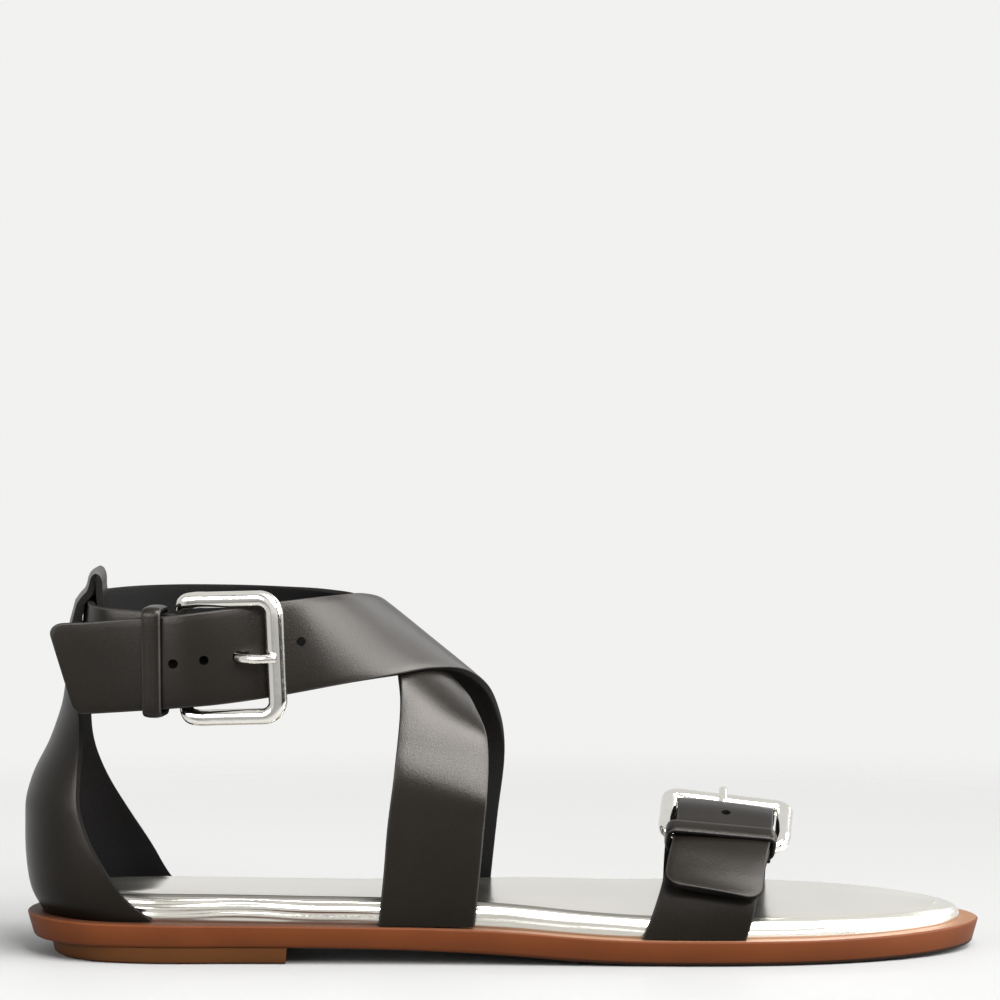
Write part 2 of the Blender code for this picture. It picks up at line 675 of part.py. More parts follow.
def buckle_frame(name, matrix, length, collection, mat):
    """A rounded frame: thin deeper back bar at x = 0, heavier front bar at the far end."""
    half = BUCKLE_HEIGHT / 2 - SIDE_BAR_RADIUS
    far = length - BACK_BAR_RADIUS - FRONT_BAR_RADIUS
    corner = BUCKLE_CORNER - SIDE_BAR_RADIUS
    back, side, front = (r / SIDE_BAR_RADIUS for r in (BACK_BAR_RADIUS, SIDE_BAR_RADIUS, FRONT_BAR_RADIUS))
    lift = BACK_BAR_SET
    points = [(0, -half + 3, 0, back), (1.2, -half + 0.6, 0.2, back), (4.2, -half, lift, side)]
    points += [(far - corner, -half, lift, side)]
    for step in range(1, 5):
        angle = math.radians(90 * step / 4)
        points.append((far - corner + corner * math.sin(angle), -half + corner - corner * math.cos(angle),
                       lift, side + (front - side) * step / 4))
    mirrored = [(x, -y, z, r) for x, y, z, r in reversed(points)]
    curve = bpy.data.curves.new(name, "CURVE")
    curve.dimensions = "3D"
    curve.bevel_depth = SIDE_BAR_RADIUS * MM
    curve.bevel_resolution = 2
    line = curve.splines.new("POLY")
    line.points.add(2 * len(points) - 1)
    for point, (x, y, z, r) in zip(line.points, points + mirrored):
        point.co = (x * MM, y * MM, z * MM, 1)
        point.radius = r
    line.use_cyclic_u = True
    obj = bpy.data.objects.new(name, curve)
    collection.objects.link(obj)
    curve.materials.append(mat)
    obj.matrix_world = matrix
    return obj


def buckle_prong(name, matrix, radius, path, length, collection, mat):
    """A tongue hooked round the back bar that follows the path and rests on the front bar."""
    hook = BACK_BAR_RADIUS + GAP + radius
    points = [(hook * math.cos(math.radians(a)), 0.0, hook * math.sin(math.radians(a)))
              for a in range(150, 440, 36)]
    far = length - BACK_BAR_RADIUS - FRONT_BAR_RADIUS
    rest = BACK_BAR_SET + FRONT_BAR_RADIUS + GAP + radius
    points += [*path, (far, 0.0, rest), (far + PRONG_OVERHANG, 0.0, rest - PRONG_DIP)]
    curve = bpy.data.curves.new(name, "CURVE")
    curve.dimensions = "3D"
    curve.bevel_depth = radius * MM
    curve.bevel_resolution = 2
    curve.use_fill_caps = True
    line = curve.splines.new("POLY")
    line.points.add(len(points) - 1)
    for point, co in zip(line.points, points):
        point.co = (*[c * MM for c in co], 1)
    obj = bpy.data.objects.new(name, curve)
    collection.objects.link(obj)
    curve.materials.append(mat)
    obj.matrix_world = matrix
    return obj


def rounded_loop(curve, half_x, half_y, corner):
    """A closed outline with rounded corners on a flat curve."""
    points = []
    for quarter in range(4):
        cx = half_x - corner if quarter in (0, 3) else corner - half_x
        cy = half_y - corner if quarter in (0, 1) else corner - half_y
        for step in range(5):
            angle = math.radians(90 * (quarter + step / 4))
            points.append((cx + corner * math.cos(angle), cy + corner * math.sin(angle)))
    line = curve.splines.new("POLY")
    line.points.add(len(points) - 1)
    for point, (x, y) in zip(line.points, points):
        point.co = (x * MM, y * MM, 0, 1)
    line.use_cyclic_u = True


def keeper(name, at, across, along, inside, width, collection, cutters, mat):
    """A leather loop round a strap: inside is its opening across the strap and through it."""
    curve = bpy.data.curves.new(name, "CURVE")
    curve.dimensions = "2D"
    curve.fill_mode = "BOTH"
    curve.extrude = width / 2 * MM
    half_x, half_y = inside[0] / 2, inside[1] / 2
    rounded_loop(curve, half_x + KEEPER_THICK, half_y + KEEPER_THICK, KEEPER_CORNERS[0])
    rounded_loop(curve, half_x, half_y, KEEPER_CORNERS[1])
    obj = bpy.data.objects.new(name, curve)
    cutters.objects.link(obj)
    z = Vector(along).normalized()
    y = z.cross(Vector(across)).normalized()
    x = y.cross(z)
    matrix = Matrix((x, y, z)).transposed().to_4x4()
    matrix.translation = Vector(at) * MM
    obj.matrix_world = matrix
    bpy.context.view_layer.update()
    band = as_mesh(obj, collection, mat)
    smooth(band)


def make_ankle_buckle(parts, cutters, mats):
    yaw, tilt = math.radians(ANKLE_FRAME_YAW), math.radians(ANKLE_FRAME_TILT)
    along = (math.cos(yaw), math.sin(yaw), math.sin(tilt))
    across = (-math.sin(tilt), 0, math.cos(tilt))
    matrix = frame_matrix(ANKLE_BAR, along, across)
    buckle_frame("ankle_buckle_frame", matrix, ANKLE_FRAME_LENGTH, parts, mats["nickel"])
    buckle_prong("ankle_buckle_prong", matrix, ANKLE_PRONG_RADIUS, ANKLE_PRONG_PATH, ANKLE_FRAME_LENGTH,
                 parts, mats["nickel"])
    keeper("ankle_keeper", ANKLE_KEEPER_AT, ANKLE_KEEPER_ACROSS, ANKLE_KEEPER_ALONG, ANKLE_KEEPER_INSIDE,
           ANKLE_KEEPER_WIDTH, parts, cutters, mats["leather"])


def toe_frame_matrix():
    rise, slant = math.radians(TOE_FRAME_RISE), math.radians(TOE_FRAME_SLANT)
    roll = math.radians(TOE_FRAME_ROLL)
    along = (math.sin(slant), math.cos(rise), math.sin(rise))
    across = (-math.cos(roll), math.sin(slant), math.sin(roll))
    return frame_matrix(TOE_BAR, along, across)


def make_toe_buckle(parts, cutters, mats):
    roll = math.radians(TOE_FRAME_ROLL)
    matrix = toe_frame_matrix()
    buckle_frame("toe_buckle_frame", matrix, TOE_FRAME_LENGTH, parts, mats["nickel"])
    turned = matrix @ Matrix.Rotation(math.radians(TOE_PRONG_TURN), 4, "Z")
    buckle_prong("toe_buckle_prong", turned, TOE_PRONG_RADIUS, TOE_PRONG_PATH, TOE_FRAME_LENGTH,
                 parts, mats["nickel"])
    keeper_rise = math.radians(TOE_KEEPER_RISE)
    keeper("toe_keeper", TOE_KEEPER_AT, (-math.cos(roll), 0, math.sin(roll)),
           (0, math.cos(keeper_rise), math.sin(keeper_rise)), TOE_KEEPER_INSIDE, TOE_KEEPER_WIDTH,
           parts, cutters, mats["leather"])


def centre_on_floor(parts):
    """Parents every part to an empty that puts the origin under the middle of the sandal."""
    bpy.context.view_layer.update()
    graph = bpy.context.evaluated_depsgraph_get()
    low, high = np.full(3, np.inf), np.full(3, -np.inf)
    for obj in parts.objects:
        seen = obj.evaluated_get(graph)
        mesh = seen.to_mesh()
        points = np.array([tuple(seen.matrix_world @ v.co) for v in mesh.vertices])
        low, high = np.minimum(low, points.min(axis=0)), np.maximum(high, points.max(axis=0))
        seen.to_mesh_clear()
    root = bpy.data.objects.new("sandal_origin", None)
    bpy.context.scene.collection.objects.link(root)
    for obj in list(bpy.data.objects):
        if obj != root and obj.parent is None:
            obj.parent = root
    middle = (low + high) / 2
    root.location = (-middle[0], -middle[1], -low[2])


def main():
    clear_scene()
    parts = new_collection("cross_strap_sandal")
    cutters = new_collection("cutters", hidden=True)
    mats = {
        "leather": material("black_leather", (0.035, 0.032, 0.029), 0.38),
        "tan": material("tan_sole", (0.22, 0.065, 0.024), 0.45),
        "silver": material("silver_leather", (0.75, 0.74, 0.70), 0.2, 1.0),
        "nickel": material("polished_nickel", (0.78, 0.76, 0.71), 0.1, 1.0),
    }
    make_sole(parts, mats)
    make_counter(parts, mats["leather"])
    make_cross_straps(parts, cutters, mats["leather"])
    make_toe_straps(parts, cutters, mats["leather"])
    make_ankle_buckle(parts, cutters, mats)
    make_toe_buckle(parts, cutters, mats)
    centre_on_floor(parts)


main()
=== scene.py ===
import math

import bpy
import numpy as np
from mathutils import Matrix, Vector


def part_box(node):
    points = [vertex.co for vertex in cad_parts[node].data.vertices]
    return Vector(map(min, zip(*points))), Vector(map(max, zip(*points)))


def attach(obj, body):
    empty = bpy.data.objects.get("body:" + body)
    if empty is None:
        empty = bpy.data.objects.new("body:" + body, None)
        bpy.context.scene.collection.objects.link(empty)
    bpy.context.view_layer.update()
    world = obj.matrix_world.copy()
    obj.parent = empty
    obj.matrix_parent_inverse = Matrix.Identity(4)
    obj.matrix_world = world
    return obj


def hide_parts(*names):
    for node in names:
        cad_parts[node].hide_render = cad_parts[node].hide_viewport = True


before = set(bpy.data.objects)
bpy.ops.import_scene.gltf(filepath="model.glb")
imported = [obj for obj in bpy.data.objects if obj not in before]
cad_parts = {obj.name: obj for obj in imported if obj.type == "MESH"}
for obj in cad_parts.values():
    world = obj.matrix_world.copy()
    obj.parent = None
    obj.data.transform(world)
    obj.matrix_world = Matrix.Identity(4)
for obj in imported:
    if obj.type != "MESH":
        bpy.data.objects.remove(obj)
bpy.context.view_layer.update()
print("frame loaded:", ", ".join(sorted(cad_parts)))

# sizes are millimetres from the back of the heel: x to the toe, y to the inner side of the foot, z up
mm = 0.001
heelBack = np.array((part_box("outsole")[0].x / mm, -5.986, 0.0))
touch = 0.3  # clearance between pieces that lie on each other
holeSides = 32
weld = 1e-6  # points nearer than this, in metres, are one


# small helpers

def toFrame(points):
    return (np.asarray(points, float) + heelBack) * mm


def unit(vectors):
    return vectors / np.linalg.norm(vectors, axis=-1, keepdims=True)


def smoothCurve(points, steps):
    pts = np.asarray(points, float)
    ends = np.vstack([2 * pts[0] - pts[1], pts, 2 * pts[-1] - pts[-2]])
    out = []
    for i in range(1, len(ends) - 2):
        before, start, end, after = ends[i - 1:i + 3]
        span = np.linalg.norm(end - start)
        first = span / (span + np.linalg.norm(start - before))
        last = span / (span + np.linalg.norm(after - end))
        leave = (end - start) * (1 - first) + (start - before) * first * first / (1 - first)
        arrive = (end - start) * (1 - last) + (after - end) * last * last / (1 - last)
        for step in range(steps):
            t = step / steps
            out.append((2 * t**3 - 3 * t**2 + 1) * start + (t**3 - 2 * t**2 + t) * leave
                       + (3 * t**2 - 2 * t**3) * end + (t**3 - t**2) * arrive)
    out.append(pts[-1])
    return np.array(out)


def slopes(points, closed):
    if closed:
        return np.roll(points, -1, axis=0) - np.roll(points, 1, axis=0)
    return np.gradient(points, axis=0)


def ringFaces(rings, size, closed=False):
    # faces between rings that have the same number of points
    faces = []
    for i in range(rings if closed else rings - 1):
        a, b = i * size, (i + 1) % rings * size
        faces += [(a + k, a + (k + 1) % size, b + (k + 1) % size, b + k) for k in range(size)]
    return faces


def makeActive(piece):
    bpy.ops.object.select_all(action="DESELECT")
    piece.select_set(True)
    bpy.context.view_layer.objects.active = piece


def addObject(name, data):
    thing = bpy.data.objects.new(name, data)
    bpy.context.scene.collection.objects.link(thing)
    return thing


def newPiece(name, verts, faces, materials, slots=None, sheet=False):
    mesh = bpy.data.meshes.new(name)
    mesh.from_pydata([tuple(v) for v in toFrame(verts)], [], faces)
    piece = addObject(name, mesh)
    for material in materials:
        mesh.materials.append(material)
    if slots is not None:
        mesh.polygons.foreach_set("material_index", slots)
    makeActive(piece)
    if not sheet:
        bpy.ops.object.mode_set(mode="EDIT")
        bpy.ops.mesh.select_all(action="SELECT")
        bpy.ops.mesh.remove_doubles(threshold=weld)
        bpy.ops.mesh.normals_make_consistent(inside=False)
        bpy.ops.object.mode_set(mode="OBJECT")
    return piece


def applyModifiers(piece):
    makeActive(piece)
    for modifier in list(piece.modifiers):
        bpy.ops.object.modifier_apply(modifier=modifier.name)


def cutOut(piece, cutters):
    for cutter in cutters:
        modifier = piece.modifiers.new("cut", "BOOLEAN")
        modifier.operation = "DIFFERENCE"
        modifier.solver = "MANIFOLD"
        modifier.object = cutter
        modifier.material_mode = "TRANSFER"
        cutter.data.materials.append(holeShade)
        applyModifiers(piece)
        bpy.data.objects.remove(cutter, do_unlink=True)


def punch(at, direction, diameter, depth):
    bpy.ops.object.select_all(action="DESELECT")
    turn = Vector(direction).to_track_quat("Z", "X").to_euler()
    bpy.ops.mesh.primitive_cylinder_add(vertices=holeSides, radius=diameter / 2 * mm, depth=depth * mm,
                                        location=toFrame(at), rotation=turn)
    return bpy.context.object


def slotBox(low, high):
    bpy.ops.object.select_all(action="DESELECT")
    low, high = np.array(low), np.array(high)
    bpy.ops.mesh.primitive_cube_add(size=1.0, location=toFrame((low + high) / 2),
                                    scale=(high - low) * mm)
    return bpy.context.object


def finishPiece(piece, slot, *nodes, angle=40):
    makeActive(piece)
    bpy.ops.object.shade_smooth_by_angle(angle=math.radians(angle))
    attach(piece, "root")
    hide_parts(*nodes)


# materials, all from nodes on object coordinates

def fillSockets(tree, node, sockets):
    # a socket takes a value, or a link from another node
    for name, value in sockets.items():
        socket = node.inputs[name.replace("_", " ")]
        if isinstance(value, bpy.types.NodeSocket):
            tree.links.new(value, socket)
        else:
            socket.default_value = value


def newMaterial(name, **sockets):
    material = bpy.data.materials.new(name)
    material.use_nodes = True
    tree = material.node_tree
    shader = tree.nodes["Principled BSDF"]
    fillSockets(tree, shader, sockets)
    return material, tree, shader


def addNode(tree, kind, settings=None, **sockets):
    node = tree.nodes.new("ShaderNode" + kind)
    for setting, value in (settings or {}).items():
        setattr(node, setting, value)
    fillSockets(tree, node, sockets)
    return node


def position(tree, kind="Object"):
    where = tree.nodes.get("where") or addNode(tree, "TexCoord", {"name": "where"})
    return where.outputs[kind]


def splitPosition(tree, kind="Object"):
    return addNode(tree, "SeparateXYZ", Vector=position(tree, kind)).outputs


def noise(tree, scale, detail):
    return addNode(tree, "TexNoise", Vector=position(tree), Scale=scale, Detail=detail).outputs["Fac"]


def cells(tree, scale):
    return addNode(tree, "TexVoronoi", Vector=position(tree), Scale=scale).outputs["Distance"]


def mapRange(tree, value, low, high, toLow=0.0, toHigh=1.0, kind="LINEAR"):
    node = addNode(tree, "MapRange", {"interpolation_type": kind}, Value=value,
                   From_Min=low, From_Max=high, To_Min=toLow, To_Max=toHigh)
    return node.outputs["Result"]


def ramp(tree, source, stops, into=None):
    # a stop is its place and a colour, or one number for a grey
    node = addNode(tree, "ValToRGB", Fac=source)
    while len(node.color_ramp.elements) < len(stops):
        node.color_ramp.elements.new(0.5)
    for element, (place, colour) in zip(node.color_ramp.elements, stops):
        element.position = place
        element.color = (*colour, 1.0) if isinstance(colour, tuple) else (colour, colour, colour, 1.0)
    if into:
        tree.links.new(node.outputs["Color"], into)
    return node.outputs["Color"]


noiseSpan = (0.3, 0.7)  # most of a noise lies between these values


def mottled(tree, source, dark, light, into=None):
    return ramp(tree, source, list(zip(noiseSpan, (dark, light))), into)


def mixColours(tree, blend, first, second, factor=1.0):
    node = addNode(tree, "Mix", {"data_type": "RGBA", "blend_type": blend},
                   Factor=factor, A=first, B=second)
    return node.outputs["Result"]


def bumps(tree, shader, layers):
    below = {}
    for height, distance, strength in layers:
        node = addNode(tree, "Bump", Distance=distance * mm, Strength=strength, Height=height, **below)
        below = {"Normal": node.outputs["Normal"]}
    fillSockets(tree, shader, below)


# a noise is its scale and detail, a bump is its noise, depth and strength

leatherLook = {
    "tint": (1.0, 0.95, 0.90, 1.0),
    "patches": (55.0, 3.0),
    "fine": (4200.0, 2.0),
    "pores": 3300.0,
    "poreDepth": 0.10,
    "fineDepth": 0.06,
    "paintedShade": (8.0, 44.0),  # painted shade: less sheen towards the sole, between these heights
    "paintedShadeShare": 0.3,
}


def leatherMaterial(name, leather):
    look = leatherLook
    dark, light, rough, grain, specular = leather
    material, tree, shader = newMaterial(name, Specular_Tint=look["tint"])
    pores, fine = cells(tree, look["pores"]), noise(tree, *look["fine"])
    mottled(tree, noise(tree, *look["patches"]), dark, light, shader.inputs["Base Color"])
    mottled(tree, fine, *rough, shader.inputs["Roughness"])
    # the sheen falls off towards the sole as painted shade near the floor
    low, high = (z * mm for z in look["paintedShade"])
    paintedShade = look["paintedShadeShare"] * specular
    sheen = mapRange(tree, splitPosition(tree)["Z"], low, high, paintedShade, specular)
    tree.links.new(sheen, shader.inputs["Specular IOR Level"])
    bumps(tree, shader, [(pores, look["poreDepth"], grain), (fine, look["fineDepth"], grain)])
    return material


silverLook = {
    "dark": (0.76, 0.735, 0.66),
    "light": (0.81, 0.785, 0.71),
    "tone": (30.0, 2.0),
    "rough": (0.16, 0.24),
    "roughBy": (30.0, 2.0),
    "bumps": (((45.0, 1.0), 0.6, 0.25), ((1500.0, 2.0), 0.02, 0.3)),
}

nickelLook = {
    "dark": (0.757, 0.739, 0.682),
    "light": (0.81, 0.79, 0.74),
    "tone": (160.0, 2.0),
    "rough": (0.10, 0.15),
    "roughBy": (900.0, 2.0),
    "bumps": (((160.0, 2.0), 0.05, 0.15),),
}


def metalMaterial(name, look, share=1.0):
    material, tree, shader = newMaterial(name, Metallic=1.0)
    dark, light = (tuple(share * c for c in look[key]) for key in ("dark", "light"))
    mottled(tree, noise(tree, *look["tone"]), dark, light, shader.inputs["Base Color"])
    mottled(tree, noise(tree, *look["roughBy"]), *look["rough"], shader.inputs["Roughness"])
    bumps(tree, shader, [(noise(tree, *by), depth, strength) for by, depth, strength in look["bumps"]])
    return material


soleLook = {
    "specular": 0.10,
    "cloud": (38.0, 4.0),
    "fine": (1700.0, 3.0),
    "fineBump": (0.05, 0.25),  # depth and strength of a bump
    "roughSpread": 0.06,
    "heights": (-0.5, 9.0),  # painted shade: darker towards the floor, between these heights
    "floorShadeTones": ((0.0, 0.5), (0.25, 0.8), (1.0, 1.0)),
    # painted shade: a tone multiplied in behind the first x, and where it has faded out; it darkens the
    # lip behind the crossing straps, and lifts the dark bottom edge back to the side's tone towards the
    # heel
    "lipShade": {"from": 98.0, "to": 150.0, "tone": (0.28, 0.20, 0.17)},
    "underShade": {"from": 112.0, "to": 165.0, "tone": (4.2, 2.7, 1.42)},
}


def soleMaterial(name, dark, light, rough, shaded=None):
    look = soleLook
    material, tree, shader = newMaterial(name, Specular_IOR_Level=look["specular"])
    place = splitPosition(tree)
    fine = noise(tree, *look["fine"])
    # painted shade: the side darkens towards the floor
    height = mapRange(tree, place["Z"], *(z * mm for z in look["heights"]))
    colour = mixColours(tree, "MULTIPLY", mottled(tree, noise(tree, *look["cloud"]), dark, light),
                        ramp(tree, height, look["floorShadeTones"]))
    # painted shade along x, from the tables above
    if shaded:
        start, end = (toFrame((look[shaded][key], 0, 0))[0] for key in ("from", "to"))
        along = mapRange(tree, place["X"], start, end)
        shade = ramp(tree, along, ((0.0, look[shaded]["tone"]), (1.0, 1.0)))
        colour = mixColours(tree, "MULTIPLY", colour, shade)
    tree.links.new(colour, shader.inputs["Base Color"])
    spread = look["roughSpread"]
    mottled(tree, fine, rough - spread, rough + spread, shader.inputs["Roughness"])
    bumps(tree, shader, [(fine, *look["fineBump"])])
    return material


# dark and light tone, roughness from and to, grain, specular
leathers = {
    "blackLeather": ((0.0023, 0.0017, 0.0011), (0.0033, 0.0024, 0.0016), (0.27, 0.35), 0.32, 0.26),
    # the rim of the outer face is lighter: partly wear, partly a painted highlight along the edges
    "leatherRimWearAndSheen": ((0.005, 0.0046, 0.0042), (0.014, 0.0132, 0.0124), (0.4, 0.55), 0.6, 0.26),
    "leatherEdge": ((0.0012, 0.0011, 0.0010), (0.006, 0.0057, 0.0054), (0.6, 0.8), 0.9, 0.05),
    "lining": ((0.0013, 0.0013, 0.0014), (0.0020, 0.0020, 0.0022), (0.6, 0.8), 0.5, 0.07),
}
blackLeather, leatherRimWearAndSheen, leatherEdge, lining = (leatherMaterial(*item) for item in leathers.items())
holeShade = newMaterial("holeShade", Base_Color=(0.0015, 0.0014, 0.0013, 1.0), Roughness=0.9,
                        Specular_IOR_Level=0.05)[0]
silverLeather = metalMaterial("silverLeather", silverLook)
# darker copies of the silver: painted shade on the rolled side, and a painted dark line along the crease
# above it
silverSideShade = metalMaterial("silverSideShade", silverLook, 0.72)
silverCreaseShade = metalMaterial("silverCreaseShade", silverLook, 0.40)
nickel = metalMaterial("polishedNickel", nickelLook)
# sole: dark and light tone, roughness
tanSole = soleMaterial("tanSole", (0.053, 0.0133, 0.0029), (0.068, 0.0172, 0.0039), 0.5)
# the lip: its own paler tone, with painted light added because it faces up
tanLip = soleMaterial("tanLip", (0.108, 0.053, 0.028), (0.133, 0.066, 0.036), 0.5, "lipShade")
# dark underside and bottom edge: partly their own dark colour, partly painted shade under the rounded edge
tanUnder = soleMaterial("tanUnder", (0.012, 0.0048, 0.0020), (0.017, 0.0066, 0.0028), 0.6, "underShade")
tanHeel = soleMaterial("tanHeel", (0.047, 0.0158, 0.0032), (0.060, 0.0204, 0.0043), 0.55)
print("materials ready")


# sole: outsole, heel lift and padded insole on one outline

sole = {
    "length": 256.6,
    "tipY": 7.0,
    "stations": 110,  # steps from heel to toe on each side
    "curveSteps": 24,  # steps between two points of the outline
    "across": 4,  # faces across the top and underside
    "sideTaper": 1.4,  # how far the side leans in towards the floor
    "topRound": 0.55,
    "topAngles": (0, 22, 45, 68, 90),
    "bottomRound": 1.0,
    "bottomAngles": (0, 30, 60, 90),
    "tableSteps": 400,
    "soften": 25,  # table steps over which a kink is rounded off
    "darkFrom": 112.0,  # the dark bottom edge, partly painted shade, starts here
    # x, lateral edge y, medial edge y
    "outline": (
        (4.2, -15.6, 15.6), (14.5, -26, 26), (31, -30.5, 30.3), (60, -31, 28),
        (92, -31.6, 25.2), (122, -32.4, 27.6), (148, -33.6, 38), (170, -34.4, 48.6),
        (192, -34.2, 54.2), (212, -31.4, 52.8), (229, -25.6, 46.6), (243, -17, 35.4),
        (251.6, -8, 23.4), (255.4, 0, 14.6),
    ),
    # x, underside z, top z
    "profile": (
        (0, 4.3, 10.9), (60, 4.3, 10.5), (78, 4.3, 10.3), (104, 3.8, 10.1), (129, 2.5, 9.3),
        (150, 0.7, 7.5), (166, 0, 6.8), (216, 0, 6.7), (240, 0.4, 7.1), (256.6, 1.3, 7.9),
    ),
}

heel = {
    "breastX": 70.5,
    "backX": 6.2,
    "height": 4.3,
    "sideInset": 1.9,
    "taper": 0.9,
    "roundOver": 30.5,  # length over which the back is set in
    "roundPower": 1.5,
    "edge": (0.4, 0.35),  # bevel of the bottom edge: in, up
    "breastLean": 0.3,
    "breastClear": 1.0,  # the outline stops this far behind the breast
}

pad = {
    "crown": 0.5,
    "across": 30,
    "wave": 0.10,  # soft unevenness of the padding, from two waves
    "longWave": (13.0, 17.0, 1.1),  # length along, length of its bend, bend
    "shortWave": (7.3, 11.0, 0.7, 0.6),  # length along, length across, shift, share
    # x, lip of the outsole left free on the lateral side, on the medial side
    "lip": (
        (0, 6.5, 6.5), (42, 6.5, 6.5), (60, 4.9, 5.2), (80, 4.5, 4.9), (150, 4.5, 5),
        (186, 4.5, 5.6), (230, 5, 5.2), (256.6, 5, 5),
    ),
    # x, height of the rim on the lateral side, on the medial side
    "rim": (
        (0, 7.2, 6), (60, 7.4, 6.1), (95, 7.3, 6.4), (143, 6.4, 7.6), (185, 5.6, 6),
        (215, 5.1, 5.2), (243, 4.5, 4.2), (256.6, 4, 3.7),
    ),
    # inset from the widest line, share of the rim's height: the rolled side from below to the top
    "side": (
        (0.15, 0), (0, 0.1), (0.08, 0.28), (0.35, 0.5), (0.95, 0.72), (2, 0.89), (3.2, 0.985),
        (4.2, 0.975), (6.2, 1),
    ),
    "sideSteps": 5,  # rings between two points of the side
    "sideLevels": 25,  # rings of the rolled side with its painted shade, then of the painted dark crease line above it
    "creaseLevels": 5,
    "ripple": 0.07,  # creases where the cover is pulled round the edge
    "rippleLines": 21,
    "rippleWander": ((1.1, 13.0), (0.6, 5.3)),  # how far and over what length the creases wander
    "rippleMore": (3.0, 74.0, 36.0),  # how much deeper, round which x, over what length
    "sideBlend": 6.0,  # width over which the two sides' heights run into each other
    "shadeTo": 180.0,  # the side has painted shade from the heel to here
}


def smoothColumn(table, index):
    # a table column rounded off, so that no kink shows along the sole
    xs = np.linspace(table[0][0], table[-1][0], sole["tableSteps"])
    values = np.interp(xs, [row[0] for row in table], [row[index] for row in table])
    width = sole["soften"]
    window = np.hanning(2 * width + 1)
    soft = np.convolve(np.pad(values, width, mode="edge"), window, "same")[width:-width] / window.sum()
    return lambda x: float(np.interp(x, xs, soft))


def soleRing():
    edges = []
    tipY, steps = sole["tipY"], sole["curveSteps"]
    for side in (1, 2):
        points = [(0.0, 0.0), *[(row[0], row[side]) for row in sole["outline"]], (sole["length"], tipY)]
        # one mirrored point past each end keeps the curve square to the middle line there
        before, after = (points[1][0], -points[1][1]), (points[-2][0], 2 * tipY - points[-2][1])
        curve = smoothCurve([before, *points, after], steps)[steps:-steps]
        along = np.concatenate([[0], np.cumsum(np.linalg.norm(np.diff(curve, axis=0), axis=1))])
        stations = np.linspace(0, along[-1], sole["stations"] + 1)
        edges.append(np.column_stack([np.interp(stations, along, curve[:, k]) for k in (0, 1)]))
    return np.vstack([edges[0], edges[1][-2:0:-1]])


def insetRing(ring, lateral, medial=None):
    tangent = slopes(ring, True)
    inward = unit(np.column_stack([-tangent[:, 1], tangent[:, 0]]))
    half = len(ring) // 2
    depth = [(lateral if i <= half else medial or lateral)(p[0]) for i, p in enumerate(ring)]
    return ring + inward * np.array(depth)[:, None]


def ringStack(name, rings, across, lift, materials, slots):
    # a solid through stacked rings, closed above and below by rows from side to side
    count = len(rings[0])
    half = count // 2
    verts = [p for ring in rings for p in ring]
    faces = ringFaces(len(rings), count)
    faceSlots = [slot for slot in slots[:-1] for _ in range(count)]
    for level, raised in ((0, False), (len(rings) - 1, True)):
        base = level * count
        rows = [[base]]
        for i in range(1, half):
            start, end = np.array(rings[level][i]), np.array(rings[level][-i])
            first = len(verts)
            for k in range(1, across):
                t = k / across
                x, y, z = start + (end - start) * t
                verts.append((x, y, z + (lift(x, y, t) if raised else 0.0)))
            rows.append([base + i, *range(first, len(verts)), base + count - i])
        rows.append([base + half])
        for row, following in zip(rows, rows[1:]):
            for k in range(across):
                a, b = row[min(k, len(row) - 1)], row[min(k + 1, len(row) - 1)]
                last = len(following) - 1
                c, d = following[min(k + 1, last)], following[min(k, last)]
                faces.append(tuple(dict.fromkeys((a, b, c, d))))
                faceSlots.append(slots[-1] if raised else slots[0])
    return newPiece(name, verts, faces, materials, faceSlots)


def makeOutsole(outer):
    bottom, top = smoothColumn(sole["profile"], 1), smoothColumn(sole["profile"], 2)
    lower, upper = sole["bottomRound"], sole["topRound"]
    levels = []
    for turn in np.radians(sole["bottomAngles"]):
        inset = sole["sideTaper"] + lower * (1 - math.sin(turn))
        levels.append((bottom, inset, lower * (1 - math.cos(turn))))
    for turn in np.radians(sole["topAngles"]):
        levels.append((top, upper * (1 - math.cos(turn)), -upper * (1 - math.sin(turn))))
    rings = [[(x, y, height(x) + rise) for x, y in insetRing(outer, lambda x: inset)]
             for height, inset, rise in levels]
    # slots: 0 side, 1 lip, 2 underside and bottom edge, dark partly from painted shade
    slots = [2] * 3 + [0] * (len(rings) - 5) + [1] * 2
    piece = ringStack("outsole_shape", rings, sole["across"], lambda x, y, t: 0.0,
                      [tanSole, tanLip, tanUnder], slots)
    darkFrom = toFrame((sole["darkFrom"], 0, 0))[0]
    for face in piece.data.polygons:
        if face.material_index == 2 and face.center.x < darkFrom:
            face.material_index = 0
    finishPiece(piece, "tan_sole", "outsole", angle=50)


